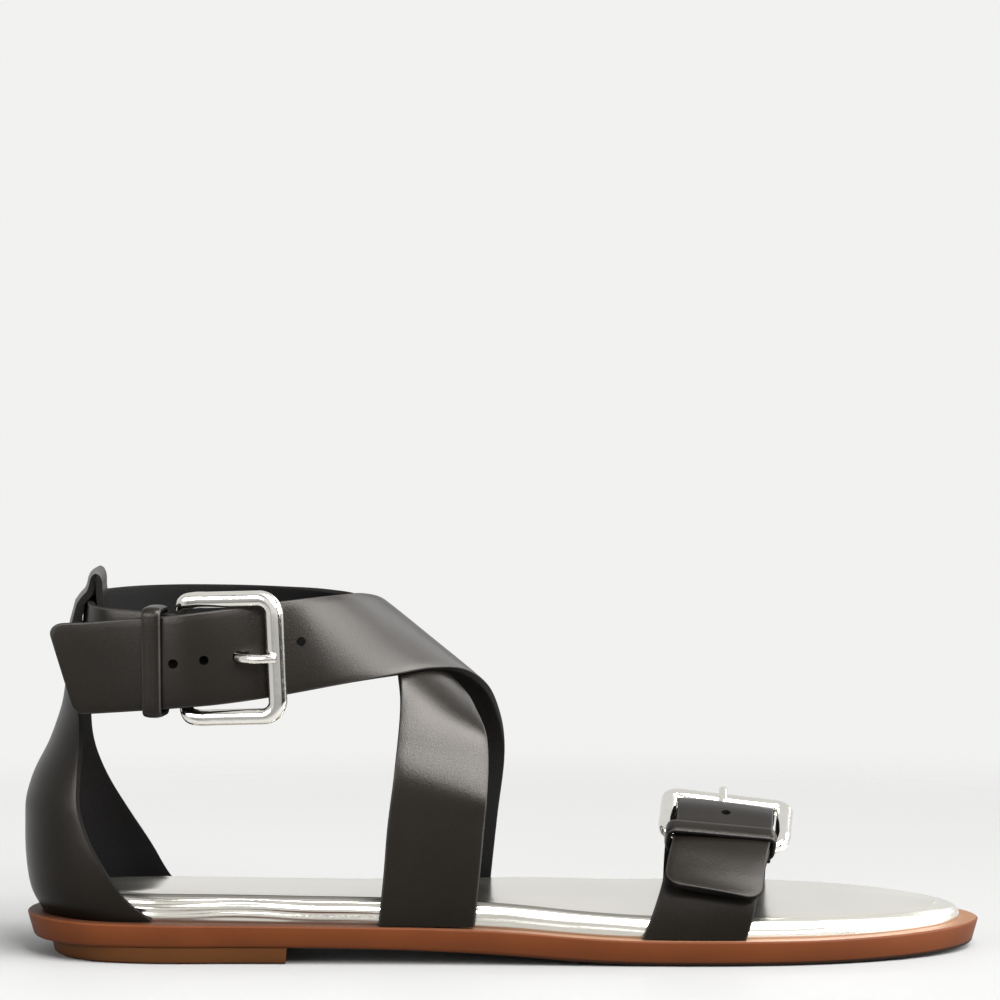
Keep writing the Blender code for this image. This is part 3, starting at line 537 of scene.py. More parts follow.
def makeHeel(outer):
    def setIn(extra):
        back = heel["backX"] - heel["sideInset"]
        return lambda x: (heel["sideInset"] + extra
                          + back * max(0.0, 1 - x / heel["roundOver"])**heel["roundPower"])

    rings = []
    edgeIn, edgeUp = heel["edge"]
    for extra, z in ((heel["taper"] + edgeIn, 0.0), (heel["taper"], edgeUp), (0.0, heel["height"])):
        ring = insetRing(outer, setIn(extra))
        around = [tuple(p) for p in ring if p[0] < heel["breastX"] - heel["breastClear"]]
        split = max(range(len(around) - 1), key=lambda i: abs(around[i + 1][1] - around[i][1]))
        around = around[split + 1:] + around[:split + 1]
        front = heel["breastX"] - extra * heel["breastLean"]
        ends = [(front, around[0][1], z), (front, around[-1][1], z)]
        rings.append([ends[0], *[(x, y, z) for x, y in around], ends[1]])
    count = len(rings[0])
    verts = [p for ring in rings for p in ring]
    faces = [tuple(range(count))[::-1], tuple(range(2 * count, 3 * count)), *ringFaces(len(rings), count)]
    # the bottom face and bottom edge take the dark underside tone, partly painted shade
    slots = [1, 0] + [1] * count + [0] * count
    piece = newPiece("heel_lift", verts, faces, [tanHeel, tanUnder], slots)
    finishPiece(piece, "tan_sole", "heel", angle=35)


def padWave(x, y):
    along, bendLength, bend = pad["longWave"]
    long = math.sin(x / along + bend * math.sin(y / bendLength))
    along, across, shift, share = pad["shortWave"]
    return pad["wave"] * (long + share * math.sin(x / along - y / across + shift))


def makeInsole(outer):
    top = smoothColumn(sole["profile"], 2)
    lips = [smoothColumn(pad["lip"], side) for side in (1, 2)]
    rims = [smoothColumn(pad["rim"], side) for side in (1, 2)]
    more, middle, length = pad["rippleMore"]
    rings = []
    for inset, share in smoothCurve(pad["side"], pad["sideSteps"]):
        def crease(x):
            deeper = 1 + more * math.exp(-((x - middle) / length)**2)
            depth = pad["ripple"] * deeper * math.sin(math.pi * share)
            wander = sum(far * math.sin(x / over) for far, over in pad["rippleWander"])
            return inset + depth * min(1.0, 3 * share) * math.sin(pad["rippleLines"] * share + wander)

        edge = insetRing(outer, lambda x: lips[0](x) + crease(x), lambda x: lips[1](x) + crease(x))
        ring = []
        for x, y in edge:
            # at heel and toe one side's height runs into the other's, with no step between them
            blend = 0.5 + 0.5 * math.tanh(y / pad["sideBlend"])
            rim = rims[0](x) * (1 - blend) + rims[1](x) * blend
            ring.append((x, y, top(x) + share * rim))
        rings.append(ring)

    def lift(x, y, t):
        inside = 1 - (2 * t - 1)**2
        return pad["crown"] * inside + padWave(x, y) * min(1.0, 3 * inside)

    sides, creases = pad["sideLevels"], pad["creaseLevels"]
    # slots: 0 top, 1 rolled side with painted shade, 2 painted dark crease line
    slots = [1] * sides + [2] * creases + [0] * (len(rings) - sides - creases)
    piece = ringStack("insole_pad", rings, pad["across"], lift,
                      [silverLeather, silverSideShade, silverCreaseShade], slots)
    # past shadeTo the side loses its painted shade and takes the top's silver
    shadeTo = toFrame((pad["shadeTo"], 0, 0))[0]
    for face in piece.data.polygons:
        if face.center.x > shadeTo:
            face.material_index = 0
    finishPiece(piece, "silver_leather", "insole", angle=60)


outer = soleRing()
makeOutsole(outer)
makeHeel(outer)
makeInsole(outer)
print("sole, heel and insole made")


# leather bands: an outer face between two edges, rounded cut edges and a lining

band = {
    "across": 12,  # faces across the outer side
    "corner": 0.45,  # rounding of the cut edges
    "tipCorner": 0.28,  # rounding of a free end's cut edge
    "droop": 0.28,  # how far the outer face falls off towards the edges
    "tipDroop": 0.6,  # share of that taken off at a rounded tip
    "most": 0.45,  # no rounding takes more of the thickness
    "roundSteps": (30, 60, 90),
    "tipSteps": 12,
    "tipClear": 0.3,  # rows this near to a tip are left out
}


def alongRows(rows):
    middle = rows.mean(axis=1)
    return np.concatenate([[0], np.cumsum(np.linalg.norm(np.diff(middle, axis=0), axis=1))])


def rowAt(rows, along, place):
    flat = rows.reshape(len(rows), 6)
    return np.array([np.interp(place, along, flat[:, k]) for k in range(6)]).reshape(2, 3)


def roundTip(rows, radius, corner):
    # rounds the two corners of the last end, and its cut edge
    along = alongRows(rows)
    end = along[-1]
    kept = [row for row, place in zip(rows, along) if place < end - radius - band["tipClear"]]
    thin = [0.0] * len(kept)
    for step in range(band["tipSteps"] + 1):
        turn = math.radians(90 - 90 * step / band["tipSteps"])
        before = radius * (1 - math.cos(turn))
        inset = radius * (1 - math.sin(turn))
        first, second = rowAt(rows, along, end - before)
        across = (second - first) / np.linalg.norm(second - first)
        kept.append(np.array((first + across * inset, second - across * inset)))
        near = max(0.0, 1 - before / corner)
        thin.append(corner * (1 - math.sqrt(max(0.0, 1 - near * near))))
    return np.array(kept), thin


def leatherBand(name, rows, thick, outside, thin=None, closed=False):
    rows = np.asarray(rows, float)
    count = len(rows)
    thin = thin or [0.0] * count
    first, second = rows[:, 0], rows[:, 1]
    slope = slopes(rows, closed)
    across = second - first
    outward = [-outside * unit(np.cross(slope[:, k], across)) for k in (0, 1)]
    verts = []
    steps = band["across"]
    bends = [math.radians(a) for a in band["roundSteps"]]
    for i in range(count):
        # one section, as places across the band and depths below its outer side
        width = np.linalg.norm(across[i])
        top, bottom = thin[i], thick - thin[i]
        corner = min(band["corner"], band["most"] * (bottom - top))
        droop = band["droop"] * (1 - top / band["corner"] * band["tipDroop"])
        cornerTop = min(corner, band["most"] * (bottom - top - droop))
        places = [corner + (width - 2 * corner) * k / steps for k in range(steps + 1)]
        ring = [(s, top + droop * abs(2 * k / steps - 1)**3) for k, s in enumerate(places)]
        out = [width - corner + corner * math.sin(a) for a in bends]
        far = [(s, top + droop + cornerTop * (1 - math.cos(a))) for s, a in zip(out, bends)]
        far += [(s, bottom - corner * (1 - math.cos(a))) for s, a in zip(out[::-1], bends[::-1])]
        ring += far
        ring += [(s, bottom) for s in places[::-1]]
        ring += [(width - s, d) for s, d in far[::-1]]
        for s, depth in ring:
            share = s / width
            normal = outward[0][i] * (1 - share) + outward[1][i] * share
            normal /= np.linalg.norm(normal)
            verts.append(first[i] + across[i] * share - normal * depth)
    # slots: 0 outer face, 1 cut edge, 2 lining, 3 rim of the outer face, lighter: partly wear, partly
    # painted highlight
    edge = 2 * len(bends)
    ringSlots = [0] * steps + [3, 3] + [1] * (edge - 1) + [2] * steps + [1] * (edge - 1) + [3, 3]
    tipSlots = [3] * steps + ringSlots[steps:]
    size = len(ringSlots)
    faces = ringFaces(count, size, closed)
    slots = []
    for i in range(count if closed else count - 1):
        slots += tipSlots if thin[i] > 0.0 else ringSlots
    if not closed:
        inner = steps + 1 + edge
        for base in (0, (count - 1) * size):
            for k in range(steps):
                under = base + inner + steps - k
                faces.append((base + k, base + k + 1, under - 1, under))
                slots.append(1)
            faces.append(tuple(base + k for k in range(steps, inner + 1)))
            faces.append(tuple(base + k % size for k in range(inner + steps, size + 1)))
            slots += [1, 1]
    return newPiece(name, verts, faces, [blackLeather, leatherEdge, lining, leatherRimWearAndSheen], slots)


def edgeRows(spec):
    return smoothCurve(spec["rows"], spec["steps"]).reshape(-1, 2, 3)


def arcRound(centre, radius, start, end, steps):
    for step in range(steps + 1):
        angle = math.radians(start + (end - start) * step / steps)
        yield centre[0] + radius * math.cos(angle), centre[1] + radius * math.sin(angle)


# buckles: frames and prongs of bent nickel bar

ankleBuckle = {
    "bar": (43.5, -31.0, 82.0),  # middle of the hidden back bar
    "length": 28.9,
    "corner": 6.0,
    "yaw": -11.0,
    "tilt": 2.5,
    "prongPath": ((6.0, -0.4), (12.4, -0.5), (17.2, 4.2)),
    "prongRadius": 1.2,
    "prongTurn": 0.0,
}

toeBuckle = {
    "bar": (187.0, -13.4, 30.0),
    "length": 28.2,
    "corner": 4.1,
    "rise": 15.2,
    "slant": 4.0,
    "roll": 7.0,
    "prongPath": ((6.0, 0.0), (14.4, 0.5), (19.8, 4.4)),
    "prongRadius": 1.1,
    "prongTurn": 3.7,
}

buckleBar = {
    "height": 35.6,  # outer size across the strap
    "back": 1.25,  # radii of the bars
    "side": 1.85,
    "front": 2.15,
    "set": 1.8,  # how much deeper the back bar lies
    "square": 0.92,  # below 1 the bar's section is squarer than round
    "flat": 1.16,  # how much wider than thick the bar is
    "sectionSteps": 28,
    # where a side bar leaves the back bar: along, in from the side, up, share of the side radius
    "bend": (
        (0, 7, 0, 0), (0, 4.4, 0.1, 0), (0.3, 2.4, 0.7, 0.5), (1.6, 0.6, 1.5, 1),
        (4.2, 0, 1.8, 1), (8, 0, 1.8, 1),
    ),
    "bendSteps": 5,
    "cornerSteps": 12,
    "barSteps": 6,
}

prong = {
    "hook": (150, 440, 12),  # degrees round the back bar: from, to, step
    "thick": (1.22, 0.92),  # share of the radius after the hook and at the tip
    "tip": (0.5, 0.72, 0.86),  # share of the radius at the last rings
    "start": 0.6,
    "steps": 8,
    "overhang": 0.7,  # how far the tip reaches past the front bar
    "dip": 0.2,
    "section": 0.9,  # squareness and flatness of the bar
}


def axesMatrix(at, along, across):
    x = Vector(along).normalized()
    z = x.cross(Vector(across)).normalized()
    y = z.cross(x)
    matrix = Matrix((x, y, z)).transposed().to_4x4()
    matrix.translation = Vector(at)
    return matrix


def ankleAxes():
    yaw, tilt = math.radians(ankleBuckle["yaw"]), math.radians(ankleBuckle["tilt"])
    return axesMatrix(ankleBuckle["bar"], (math.cos(yaw), math.sin(yaw), math.sin(tilt)),
                      (-math.sin(tilt), 0, math.cos(tilt)))


def toeAxes():
    rise, slant, roll = (math.radians(toeBuckle[key]) for key in ("rise", "slant", "roll"))
    return axesMatrix(toeBuckle["bar"], (math.sin(slant), math.cos(rise), math.sin(rise)),
                      (-math.cos(roll), math.sin(slant), math.sin(roll)))


def bentBar(name, matrix, path, radii, normal, square, flat, closed):
    # a bar of rounded section along a path in the buckle's own axes
    path = np.asarray(path, float)
    count = len(path)
    steps = buckleBar["sectionSteps"]
    slope = unit(slopes(path, closed))
    side = unit(np.cross(slope, np.array(normal, float)))
    rise = np.cross(side, slope)
    verts = []
    for i in range(count):
        for step in range(steps):
            angle = 2 * math.pi * step / steps
            c, s = math.cos(angle), math.sin(angle)
            u = math.copysign(abs(c)**square, c) * radii[i] * flat
            v = math.copysign(abs(s)**square, s) * radii[i]
            verts.append(tuple(matrix @ Vector(path[i] + side[i] * u + rise[i] * v)))
    faces = ringFaces(count, steps, closed)
    if not closed:
        faces += [tuple(range(steps)), tuple(range((count - 1) * steps, count * steps))]
    return newPiece(name, verts, faces, [nickel])


def makeFrame(name, node, spec, matrix):
    shape = buckleBar
    back, side, front = shape["back"], shape["side"], shape["front"]
    half = shape["height"] / 2 - side * shape["flat"]
    far = spec["length"] - back - front
    corner = spec["corner"] - side
    bend = [(x, inner - half, z, back + (side - back) * share) for x, inner, z, share in shape["bend"]]
    bent, _, lift, _ = bend[-1]
    points = list(smoothCurve(bend, shape["bendSteps"]))
    steps = shape["barSteps"]
    points += [(bent + (far - corner - bent) * k / steps, -half, lift, side) for k in range(1, steps + 1)]
    for step in range(1, shape["cornerSteps"] + 1):
        share = step / shape["cornerSteps"]
        turn = math.radians(90 * share)
        x, y = far - corner + corner * math.sin(turn), -half + corner - corner * math.cos(turn)
        points.append((x, y, lift, side + (front - side) * share))
    points += [(far, (corner - half) * (1 - k / steps), lift, front) for k in range(1, steps)]
    mirrored = [(x, -y, z, r) for x, y, z, r in reversed(points)]
    loop = np.array(points + mirrored)
    piece = bentBar(name, matrix, loop[:, :3], loop[:, 3], (0, 0, 1), shape["square"], shape["flat"], True)
    finishPiece(piece, "polished_nickel", node, angle=60)


def makeProng(name, node, spec, matrix):
    shape = buckleBar
    radius = spec["prongRadius"]
    hook = shape["back"] + touch + radius
    turned = matrix @ Matrix.Rotation(math.radians(spec["prongTurn"]), 4, "Z")
    turns = [math.radians(a) for a in range(*prong["hook"])]
    points = [(hook * math.cos(a), hook * math.sin(a)) for a in turns]
    far = spec["length"] - shape["back"] - shape["front"]
    rest = shape["set"] + shape["front"] + touch + radius
    end = (far + prong["overhang"], rest - prong["dip"])
    later = smoothCurve([points[-1], *spec["prongPath"], (far, rest), end], prong["steps"])[1:]
    radii = [radius] * len(points) + list(radius * np.linspace(*prong["thick"], len(later)))
    points += list(later)
    for back, share in enumerate(prong["tip"]):
        radii[-1 - back] = radius * share
    radii[0] = radius * prong["start"]
    path = [(x, 0.0, z) for x, z in points]
    piece = bentBar(name, turned, path, radii, (0, 1, 0), prong["section"], prong["section"], False)
    finishPiece(piece, "polished_nickel", node, angle=60)


for place, spec, axes in (("ankle", ankleBuckle, ankleAxes()), ("toe", toeBuckle, toeAxes())):
    makeFrame(place + "_frame", place + "_buckle_frame", spec, axes)
    makeProng(place + "_prong", place + "_buckle_prong", spec, axes)
print("buckles made")


# the crossing straps
# a row is the rear or upper edge x, y, z, then the front or lower edge x, y, z
# a hole is where it is punched, how deep the punch goes

foldSteps = 20  # rows of a strap end folded round a buckle's back bar

underStrap = {
    "thick": 2.2,
    "steps": 7,
    "foldTail": (3.2, 0.5),
    "foldNarrower": (0.3, 0.7),
    "foldAngles": (-100, 100),
    "hookSlot": ((-4.2, -4.4, -1.8), (6.0, 5.0, 1.8)),  # corners of the prong's slot from the back bar
    "rows": (
        (94.9, -30.4, 10.4, 120.5, -31, 10.2), (96.3, -30.4, 24, 122, -30.8, 24),
        (97.5, -30.7, 38, 123.3, -30.8, 38), (99.3, -30.5, 51.6, 123.95, -30.4, 45),
        (100.3, -26.7, 60.2, 124.35, -26.8, 53), (100.9, -22.9, 67.4, 123.9, -22.3, 60.8),
        (101, -18.8, 75.6, 121, -13, 67.3),
        (99.2, -9.4, 85.8, 117.8, -5.2, 71.4), (95.5, 0.4, 92.2, 112.9, 2, 74.7),
        (89.6, 11, 95, 105.6, 11.8, 75.8), (81.3, 21.5, 95.4, 94.6, 21.8, 74.4),
        (68, 27.8, 95.5, 78, 27.8, 72), (52, 29.8, 95.7, 57, 29.6, 70.8),
        (38, 27.8, 95.9, 40, 27.8, 70.8), (26, 21.6, 96, 26.4, 21.6, 70.8),
        (17.4, 12.6, 95.8, 16.2, 12.6, 70.8), (15.7, 0, 95.6, 13.6, 0, 70.6),
        (16.9, -12, 95.2, 15.4, -12, 70.4), (18, -19.4, 95.1, 17, -19.4, 70),
        (21.4, -25.4, 94.9, 21.4, -25.4, 69.9), (29.6, -29.4, 94.6, 29.8, -29.4, 69.8),
        (38.4, -31.9, 94.2, 38.8, -31.9, 69.4),
    ),
}

overStrap = {
    "thick": 2.2,
    "steps": 7,
    "tipRadius": 3.2,
    "holeDiameter": 2.5,
    "punchAlong": (0.15, -1, 0),
    "rows": (
        (98, 23.6, 10.4, 124, 26.2, 10.2), (100, 24, 33, 126.5, 25.6, 33),
        (102, 22.4, 53, 128.6, 22.4, 51), (103.4, 17.4, 72.6, 127.6, 14, 62.6),
        (101.6, 9.6, 86.8, 124.2, 6.6, 71.2), (97.1, 0, 94.4, 118.6, -1.2, 76),
        (91.4, -11, 97.7, 109.8, -12.5, 77.7), (84.6, -22, 98.3, 99.5, -23, 76.9),
        (75, -30.2, 97.9, 85, -30, 74.9), (66.5, -33.4, 97, 71, -33.4, 72.6),
        (57, -36.2, 95.9, 60.5, -36.2, 71.2), (48.5, -37.5, 94.9, 51.5, -37.5, 70.2),
        (42.5, -37.3, 94.2, 45, -37.4, 69.6), (33.5, -34.9, 93.2, 36, -35.3, 68.7),
        (25, -33.7, 92.4, 27.6, -33.9, 68), (18, -33.2, 91.8, 21.8, -33.4, 67.6),
        (11.4, -33, 91.5, 17, -33.2, 67.3), (7.4, -33, 91.2, 14.7, -33.2, 67.2),
    ),
    "holes": (((41.0, -37.0, 81.2), 3.4), ((49.1, -37.2, 82.2), 3.4), ((66.2, -34.0, 85.0), 9.0),
              ((74.7, -32.0, 86.6), 9.0)),
    "prongHole": (58.3, -36.0, 82.9),
    "prongHoleSize": (3.4, 12.0),  # diameter, depth
    "prongSlot": ((58.3, -40.0, 81.4), (61.0, -31.0, 84.4)),
}


def makeUnderStrap():
    spec = underStrap
    rows = list(edgeRows(spec))
    barX, barY, barZ = ankleBuckle["bar"]
    roundBar = buckleBar["back"] + touch + spec["thick"]
    fold = list(arcRound((barX, barY), roundBar, *spec["foldAngles"], foldSteps))
    tailX, tailY = spec["foldTail"]
    fold.append((barX - tailX, barY + roundBar - tailY))
    upper = spec["rows"][-1][2] - spec["foldNarrower"][0]
    lower = spec["rows"][-1][5] + spec["foldNarrower"][1]
    lean = math.tan(math.radians(ankleBuckle["tilt"]))
    for x, y in fold:
        rows.append(((x - lean * (upper - barZ), y, upper), (x - lean * (lower - barZ), y, lower)))
    piece = leatherBand("under_strap", rows, spec["thick"], 1)
    cutOut(piece, [slotBox(*np.add(ankleBuckle["bar"], spec["hookSlot"]))])
    finishPiece(piece, "black_leather", "cross_straps")


def makeFreeStrap(name, node, spec, rows, *cutters):
    # a strap with a rounded free end that goes through its buckle
    rows, thin = roundTip(rows, spec["tipRadius"], band["tipCorner"])
    piece = leatherBand(name, rows, spec["thick"], -1, thin)
    holes = [punch(at, spec["punchAlong"], spec["holeDiameter"], depth) for at, depth in spec["holes"]]
    cutOut(piece, [*holes, *cutters, slotBox(*spec["prongSlot"])])
    finishPiece(piece, "black_leather", node)


makeUnderStrap()
prongHole = punch(overStrap["prongHole"], overStrap["punchAlong"], *overStrap["prongHoleSize"])
makeFreeStrap("over_strap", "cross_straps", overStrap, edgeRows(overStrap), prongHole)
print("crossing straps made")


# heel counter, folded over the ankle strap at its top

counter = {
    "thick": 1.8,
    "columns": 40,
    "wallSteps": 5,  # rows between two rows of the tables
    "foldSteps": 6,
    "edge": 0.4,  # rounding of the cut edges
    "edgeSegments": 3,
    "edgeAngle": 55,  # edges sharper than this are rounded
    "stripHalf": 11.4,  # half width and bend of the strip
    "stripRadius": 66.0,
    # z, x at the back, lateral front edge x, medial front edge x, radius round the heel
    "wall": (
        (11, 4.1, 34.4, 42, 26.4), (17.2, 0.9, 27, 36.6, 27.2), (24.4, -0.3, 22, 32.4, 27.6),
        (34.6, -0.6, 16.4, 25.8, 27.2), (41.2, -0.3, 14.5, 21.8, 26.6), (48, 1.7, 14.4, 18.4, 25.6),
        (57.1, 6.2, 14.9, 15.6, 25), (64.6, 8.9, 14.9, 14.9, 27), (72, 10.4, 13, 13, 38),
        (89, 11.7, 12.7, 12.7, 66),
    ),
    # x, z of the strip's outer face where it folds forward
    "fold": (
        (13.2, 94.6), (14.5, 96.4), (15.9, 98), (16.5, 99.6), (16.9, 101.2), (17.6, 102.3), (18.3, 102.6),
        (19.1, 102.3), (19.8, 101.2), (20.1, 99.6), (20.1, 98), (20.3, 96), (20.2, 84), (19.5, 74),
    ),
}


def heelRow(back, z, lateralDepth, medialDepth, radius):
    def reach(depth):
        if depth >= radius:
            return radius * math.pi / 2 + depth - radius
        return radius * math.acos(1 - depth / radius)

    row = []
    for s in np.linspace(-reach(lateralDepth), reach(medialDepth), counter["columns"] + 1):
        turn = min(abs(s), radius * math.pi / 2) / radius
        straight = max(0.0, abs(s) - radius * math.pi / 2)
        depth = radius * (1 - math.cos(turn)) + straight
        row.append((back + depth, math.copysign(radius * math.sin(turn), s), z))
    return row


def makeCounter():
    spec = counter
    rows = [heelRow(back, z, lateral - back, medial - back, radius)
            for z, back, lateral, medial, radius in smoothCurve(spec["wall"], spec["wallSteps"])]
    depth = spec["stripRadius"] - math.sqrt(spec["stripRadius"]**2 - spec["stripHalf"]**2)
    fold = smoothCurve(spec["fold"], spec["foldSteps"])
    rows += [heelRow(x, z, depth, depth, spec["stripRadius"]) for x, z in fold]
    width = spec["columns"] + 1
    verts = [p for row in rows for p in row]
    faces = [((i + 1) * width + k, (i + 1) * width + k + 1, i * width + k + 1, i * width + k)
             for i in range(len(rows) - 1) for k in range(width - 1)]
    piece = newPiece("heel_counter_leather", verts, faces, [blackLeather, leatherEdge, lining], sheet=True)
    wall = piece.modifiers.new("wall", "SOLIDIFY")
    wall.thickness = spec["thick"] * mm
    wall.offset = -1.0
    wall.use_even_offset = True
    wall.material_offset_rim = 1
    wall.material_offset = 2
    rounded = piece.modifiers.new("rounded", "BEVEL")
    rounded.width = spec["edge"] * mm
    rounded.segments = spec["edgeSegments"]
    rounded.limit_method = "ANGLE"
    rounded.angle_limit = math.radians(spec["edgeAngle"])
    applyModifiers(piece)
    finishPiece(piece, "black_leather", "heel_counter")


makeCounter()
print("heel counter made")


# toe strap: lateral half folded round the buckle, medial half through it
# a row is y, z at mid width, rear edge x, front edge x, rear edge raised, rear edge turned inwards

toeLateral = {
    "thick": 1.8,
    "steps": 8,
    "foldHalf": 12.6,
    "foldTail": (1.6, 0.4),
    "hookSlot": ((-1.7, -4.0, -5.0), (1.7, 6.0, 5.0)),  # corners of the prong's slot from the back bar
    "rows": (
        (-33, 7.1, 165, 192.7, 0.2, 0), (-32.6, 12, 167.2, 194.2, 0.5, 0.2),
        (-31.2, 18.5, 169.6, 195.6, 1, 0.5), (-28.2, 24.2, 171.4, 197, 1.4, 0.8),
        (-24, 28.6, 173, 198.4, 1.5, 0.9), (-19, 31.8, 174.2, 199.6, 1.5, 0.9),
    ),
}

toeMedial = {
    "thick": 2.0,
    "steps": 8,
    "tipRadius": 4.6,
    "holes": (((187.6, -9.8, 35.5), 14.0), ((187.6, 16.5, 35.5), 14.0)),
    "holeDiameter": 2.5,
    "punchAlong": (0.1, 0, 1),
    "prongSlot": ((185.0, 0.6, 30.0), (189.5, 7.8, 44.0)),
    "rows": (
        (50.8, 7.3, 172, 200, 0, -2.6), (47.4, 18, 172.4, 200.6, 0.4, -1.8),
        (39, 27.4, 173.2, 201.2, 0.9, -0.8), (28, 32.6, 174.4, 201.6, 1.3, 0.2),
        (18, 34.6, 175.6, 201.8, 1.5, 0.7), (10.4, 35.2, 176, 201.6, 1.5, 0.9),
        (5.2, 37.2, 175.9, 201.5, 1.5, 0.9), (0.6, 39.6, 175.6, 201.2, 1.5, 0.9),
        (-5.6, 39.4, 175.2, 200.8, 1.5, 0.9), (-13, 37, 174.8, 200.4, 1.5, 0.9),
        (-20.2, 34, 174, 199.6, 1.5, 0.9), (-26.2, 30.4, 172.8, 198.4, 1.5, 0.9),
        (-31.4, 26, 171.6, 197.4, 1.7, 0.9), (-35, 22.7, 171, 197, 2.2, 0.6),
        (-37, 21.1, 170.8, 196.8, 2.4, 0.4),
    ),
}


def toeRows(spec):
    rows = []
    for y, z, rear, front, raised, turned in smoothCurve(spec["rows"], spec["steps"]):
        rows.append(((rear, y + turned, z + raised), (front, y - turned, z - raised)))
    return np.array(rows)


def makeToeLateral():
    spec = toeLateral
    rows = list(toeRows(spec))
    barX, barY, barZ = toeBuckle["bar"]
    roundBar = buckleBar["back"] + touch + spec["thick"]
    reach = np.array(toeAxes().col[1][:3]) * spec["foldHalf"]
    high = 90 + toeBuckle["rise"]
    fold = list(arcRound((barY, barZ), roundBar, high, high - 180, foldSteps))
    tailY, tailZ = spec["foldTail"]
    fold.append((barY - tailY, barZ - roundBar - tailZ))
    for y, z in fold:
        middle = np.array((barX, y, z))
        rows.append((middle + reach, middle - reach))
    piece = leatherBand("toe_strap_outer_half", rows, spec["thick"], 1)
    cutOut(piece, [slotBox(*np.add(toeBuckle["bar"], spec["hookSlot"]))])
    finishPiece(piece, "black_leather", "toe_strap_lateral")


makeToeLateral()
makeFreeStrap("toe_strap_inner_half", "toe_strap_medial", toeMedial, toeRows(toeMedial))
print("toe strap made")


# keepers: leather loops that hold the free ends down

toeRoll, toeRise = math.radians(7.0), math.radians(27.0)  # how the toe strap lies under its keeper

keepers = {
    "thick": 1.5,
    "outerCorner": 2.4,
    "steps": 8,
    "ankle": {"at": (36.1, -32.1, 81.4), "inside": (26.6, 6.6), "width": 5.2,
              "across": (-0.1, 0, 1), "along": (1, -0.24, 0)},
    "toe": {"at": (186.2, -19.0, 32.0), "inside": (26.9, 4.9), "width": 5.2,
            "across": (-math.cos(toeRoll), 0, math.sin(toeRoll)),
            "along": (0, math.cos(toeRise), math.sin(toeRise))},
}


def makeKeeper(name, node, spec):
    z = Vector(spec["along"]).normalized()
    y = z.cross(Vector(spec["across"])).normalized()
    x, y, z = np.array(y.cross(z)), np.array(y), np.array(z)
    corner, steps = keepers["outerCorner"], keepers["steps"]
    a, b = (size / 2 + keepers["thick"] - corner for size in spec["inside"])
    centres = ((a, b), (-a, b), (-a, -b), (a, -b))
    path = []
    for quarter, centre in enumerate(centres):
        turned = 90 * quarter + 90
        path += list(arcRound(centre, corner, turned - 90, turned, steps))
        last = np.array(path[-1])
        goal = np.array(next(arcRound(centres[(quarter + 1) % 4], corner, turned, turned, 1)))
        path += [last + (goal - last) * k / steps for k in range(1, steps)]
    rows = []
    for u, v in path:
        middle = np.array(spec["at"]) + x * u + y * v
        rows.append((middle - z * spec["width"] / 2, middle + z * spec["width"] / 2))
    piece = leatherBand(name, rows, keepers["thick"], -1, closed=True)
    finishPiece(piece, "black_leather", node)


for place in ("ankle", "toe"):
    makeKeeper(place + "_keeper_loop", place + "_keeper", keepers[place])
print("keepers made")


# studio: pale floor that fades into the backdrop, soft light, camera

studio = {
    "backdrop": (0.888, 0.886, 0.878),
    "floorRadius": 1.6,
    "floorSides": 128,
    "floorDrop": 0.0002,
    "floorRough": 0.6,
    "floorSpecular": 0.2,
    "floorLightSpan": (-0.2, 0.2),  # painted light: x between which the floor's tone runs from lighter on the left, where the shoe's shadow falls, to the right
    "floorLightTones": ((0.0, (0.212, 0.212, 0.210)), (1.0, (0.176, 0.176, 0.174))),
    "fade": (0.26, 0.46),  # the floor fades out between these distances
    "fadeShift": (0.0, -0.13, 0.0),
    "fadeScale": (1.0, 1.3, 1.0),
    # a white card round the camera, dark walls, then the lit backdrop behind the shoe
    "walls": ((0.05, 0.86), (0.08, 0.76), (0.11, 0.05), (0.46, 0.05), (0.62, 0.80)),
    "below": ((0.44, 0.55), (0.5, 1.0)),
    "ceiling": ((0.60, 0.0), (0.80, 0.8)),
    "leftWall": ((0.14, 0.7), (0.30, 0.0)),
    "lightAim": (0.0, 0.0, 0.05),
    # the name, then where it hangs, its width and height, its power in watts
    "softboxes": (
        ("sideSoftbox", (1.90, -0.35, 0.75), (2.4, 1.1), 145.0),
        ("topSoftbox", (0.70, -1.05, 2.10), (1.7, 1.3), 172.0),
        ("frontSoftbox", (0.84, -1.74, 1.20), (1.3, 0.6), 58.0),
        ("backSoftbox", (1.45, 1.40, 1.15), (1.2, 0.9), 12.0),
        ("leftSoftbox", (-1.30, -1.45, 0.70), (1.2, 0.9), 38.0),
    ),
    "cameraAt": (127.3, -2000.0, 300.0),
    "cameraDown": 5.1035,  # degrees
    "lens": 269.28,
    "sensor": 36.0,
    "clipEnd": 50.0,
}


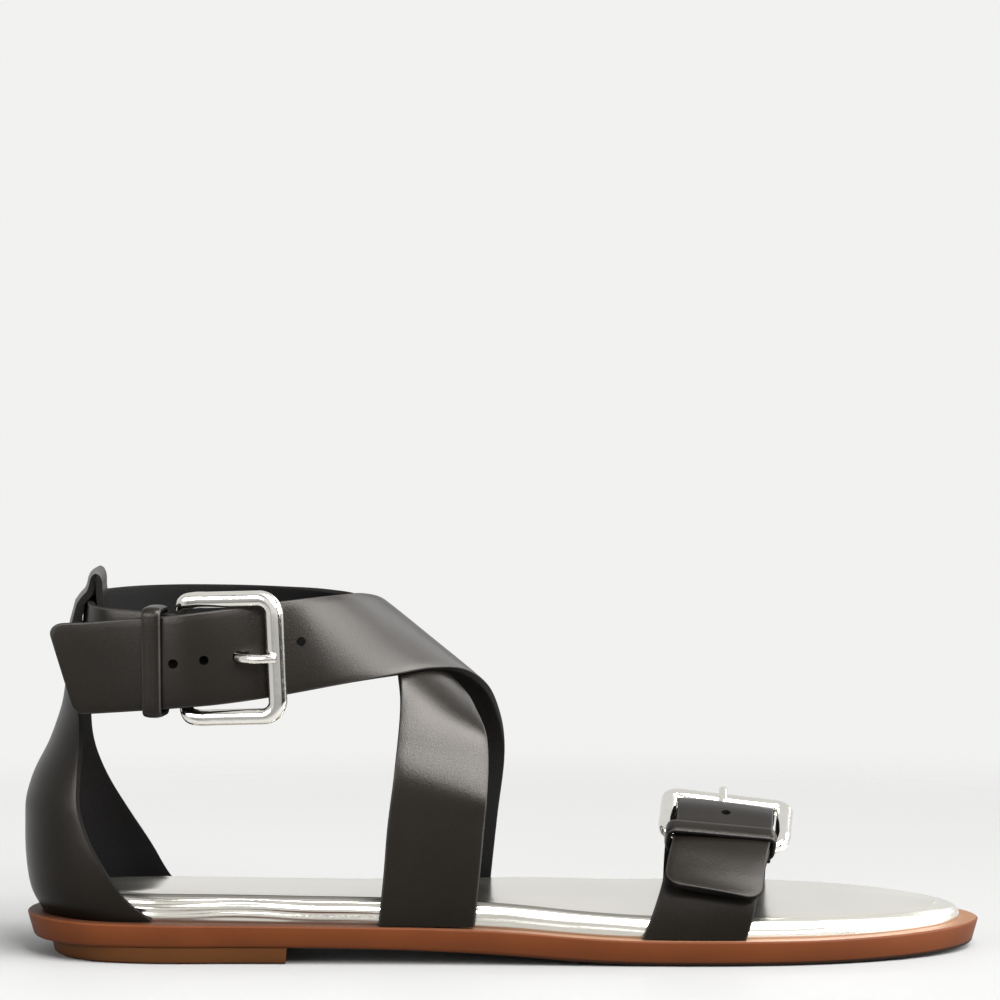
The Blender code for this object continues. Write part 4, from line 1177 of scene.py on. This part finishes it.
def makeFloor():
    bpy.ops.object.select_all(action="DESELECT")
    bpy.ops.mesh.primitive_circle_add(vertices=studio["floorSides"], radius=studio["floorRadius"],
                                      fill_type="NGON", location=(0, 0, -studio["floorDrop"]))
    floor = bpy.context.object
    floor.name = "floor"
    material, tree, shader = newMaterial("paleFloor", Roughness=studio["floorRough"],
                                         Specular_IOR_Level=studio["floorSpecular"])
    shift = addNode(tree, "Mapping", Vector=position(tree), Location=studio["fadeShift"],
                    Scale=studio["fadeScale"])
    away = addNode(tree, "VectorMath", {"operation": "LENGTH"}, Vector=shift.outputs["Vector"])
    fade = mapRange(tree, away.outputs["Value"], *studio["fade"], 1.0, 0.0, "SMOOTHSTEP")
    tree.links.new(fade, shader.inputs["Alpha"])
    # painted light on the floor, lifting the shoe's shadow on the left
    across = mapRange(tree, splitPosition(tree)["X"], *studio["floorLightSpan"])
    ramp(tree, across, studio["floorLightTones"], shader.inputs["Base Color"])
    floor.data.materials.append(material)


def makeWorld():
    world = bpy.data.worlds.new("studio")
    bpy.context.scene.world = world
    world.use_nodes = True
    tree = world.node_tree
    split = splitPosition(tree, "Generated")
    across, depth, height = (mapRange(tree, split[axis], -1.0, 1.0) for axis in "XYZ")
    room = ramp(tree, depth, studio["walls"])
    for source, part, blend in ((height, "below", "MULTIPLY"), (split["Z"], "ceiling", "LIGHTEN"),
                                (across, "leftWall", "LIGHTEN")):
        room = mixColours(tree, blend, room, ramp(tree, source, studio[part]))
    # the camera sees an even backdrop instead of the room
    byCamera = addNode(tree, "LightPath").outputs["Is Camera Ray"]
    seen = mixColours(tree, "MIX", room, (*studio["backdrop"], 1.0), byCamera)
    fillSockets(tree, tree.nodes["Background"], {"Color": seen})


def makeLights():
    for name, at, size, power in studio["softboxes"]:
        light = bpy.data.lights.new(name, "AREA")
        light.shape = "RECTANGLE"
        light.size, light.size_y = size
        light.energy = power
        lamp = addObject(name, light)
        lamp.location = at
        lamp.rotation_euler = (Vector(studio["lightAim"]) - Vector(at)).to_track_quat("-Z", "Y").to_euler()


def makeCamera():
    camera = bpy.data.cameras.new("camera")
    camera.lens = studio["lens"]
    camera.sensor_width = studio["sensor"]
    camera.sensor_fit = "HORIZONTAL"
    camera.clip_end = studio["clipEnd"]
    holder = addObject("camera", camera)
    holder.location = toFrame(studio["cameraAt"])
    holder.rotation_euler = (math.radians(90 - studio["cameraDown"]), 0, 0)
    bpy.context.scene.camera = holder


makeFloor()
makeWorld()
makeLights()
makeCamera()
bpy.context.scene.view_settings.view_transform = "Standard"
print("studio ready")
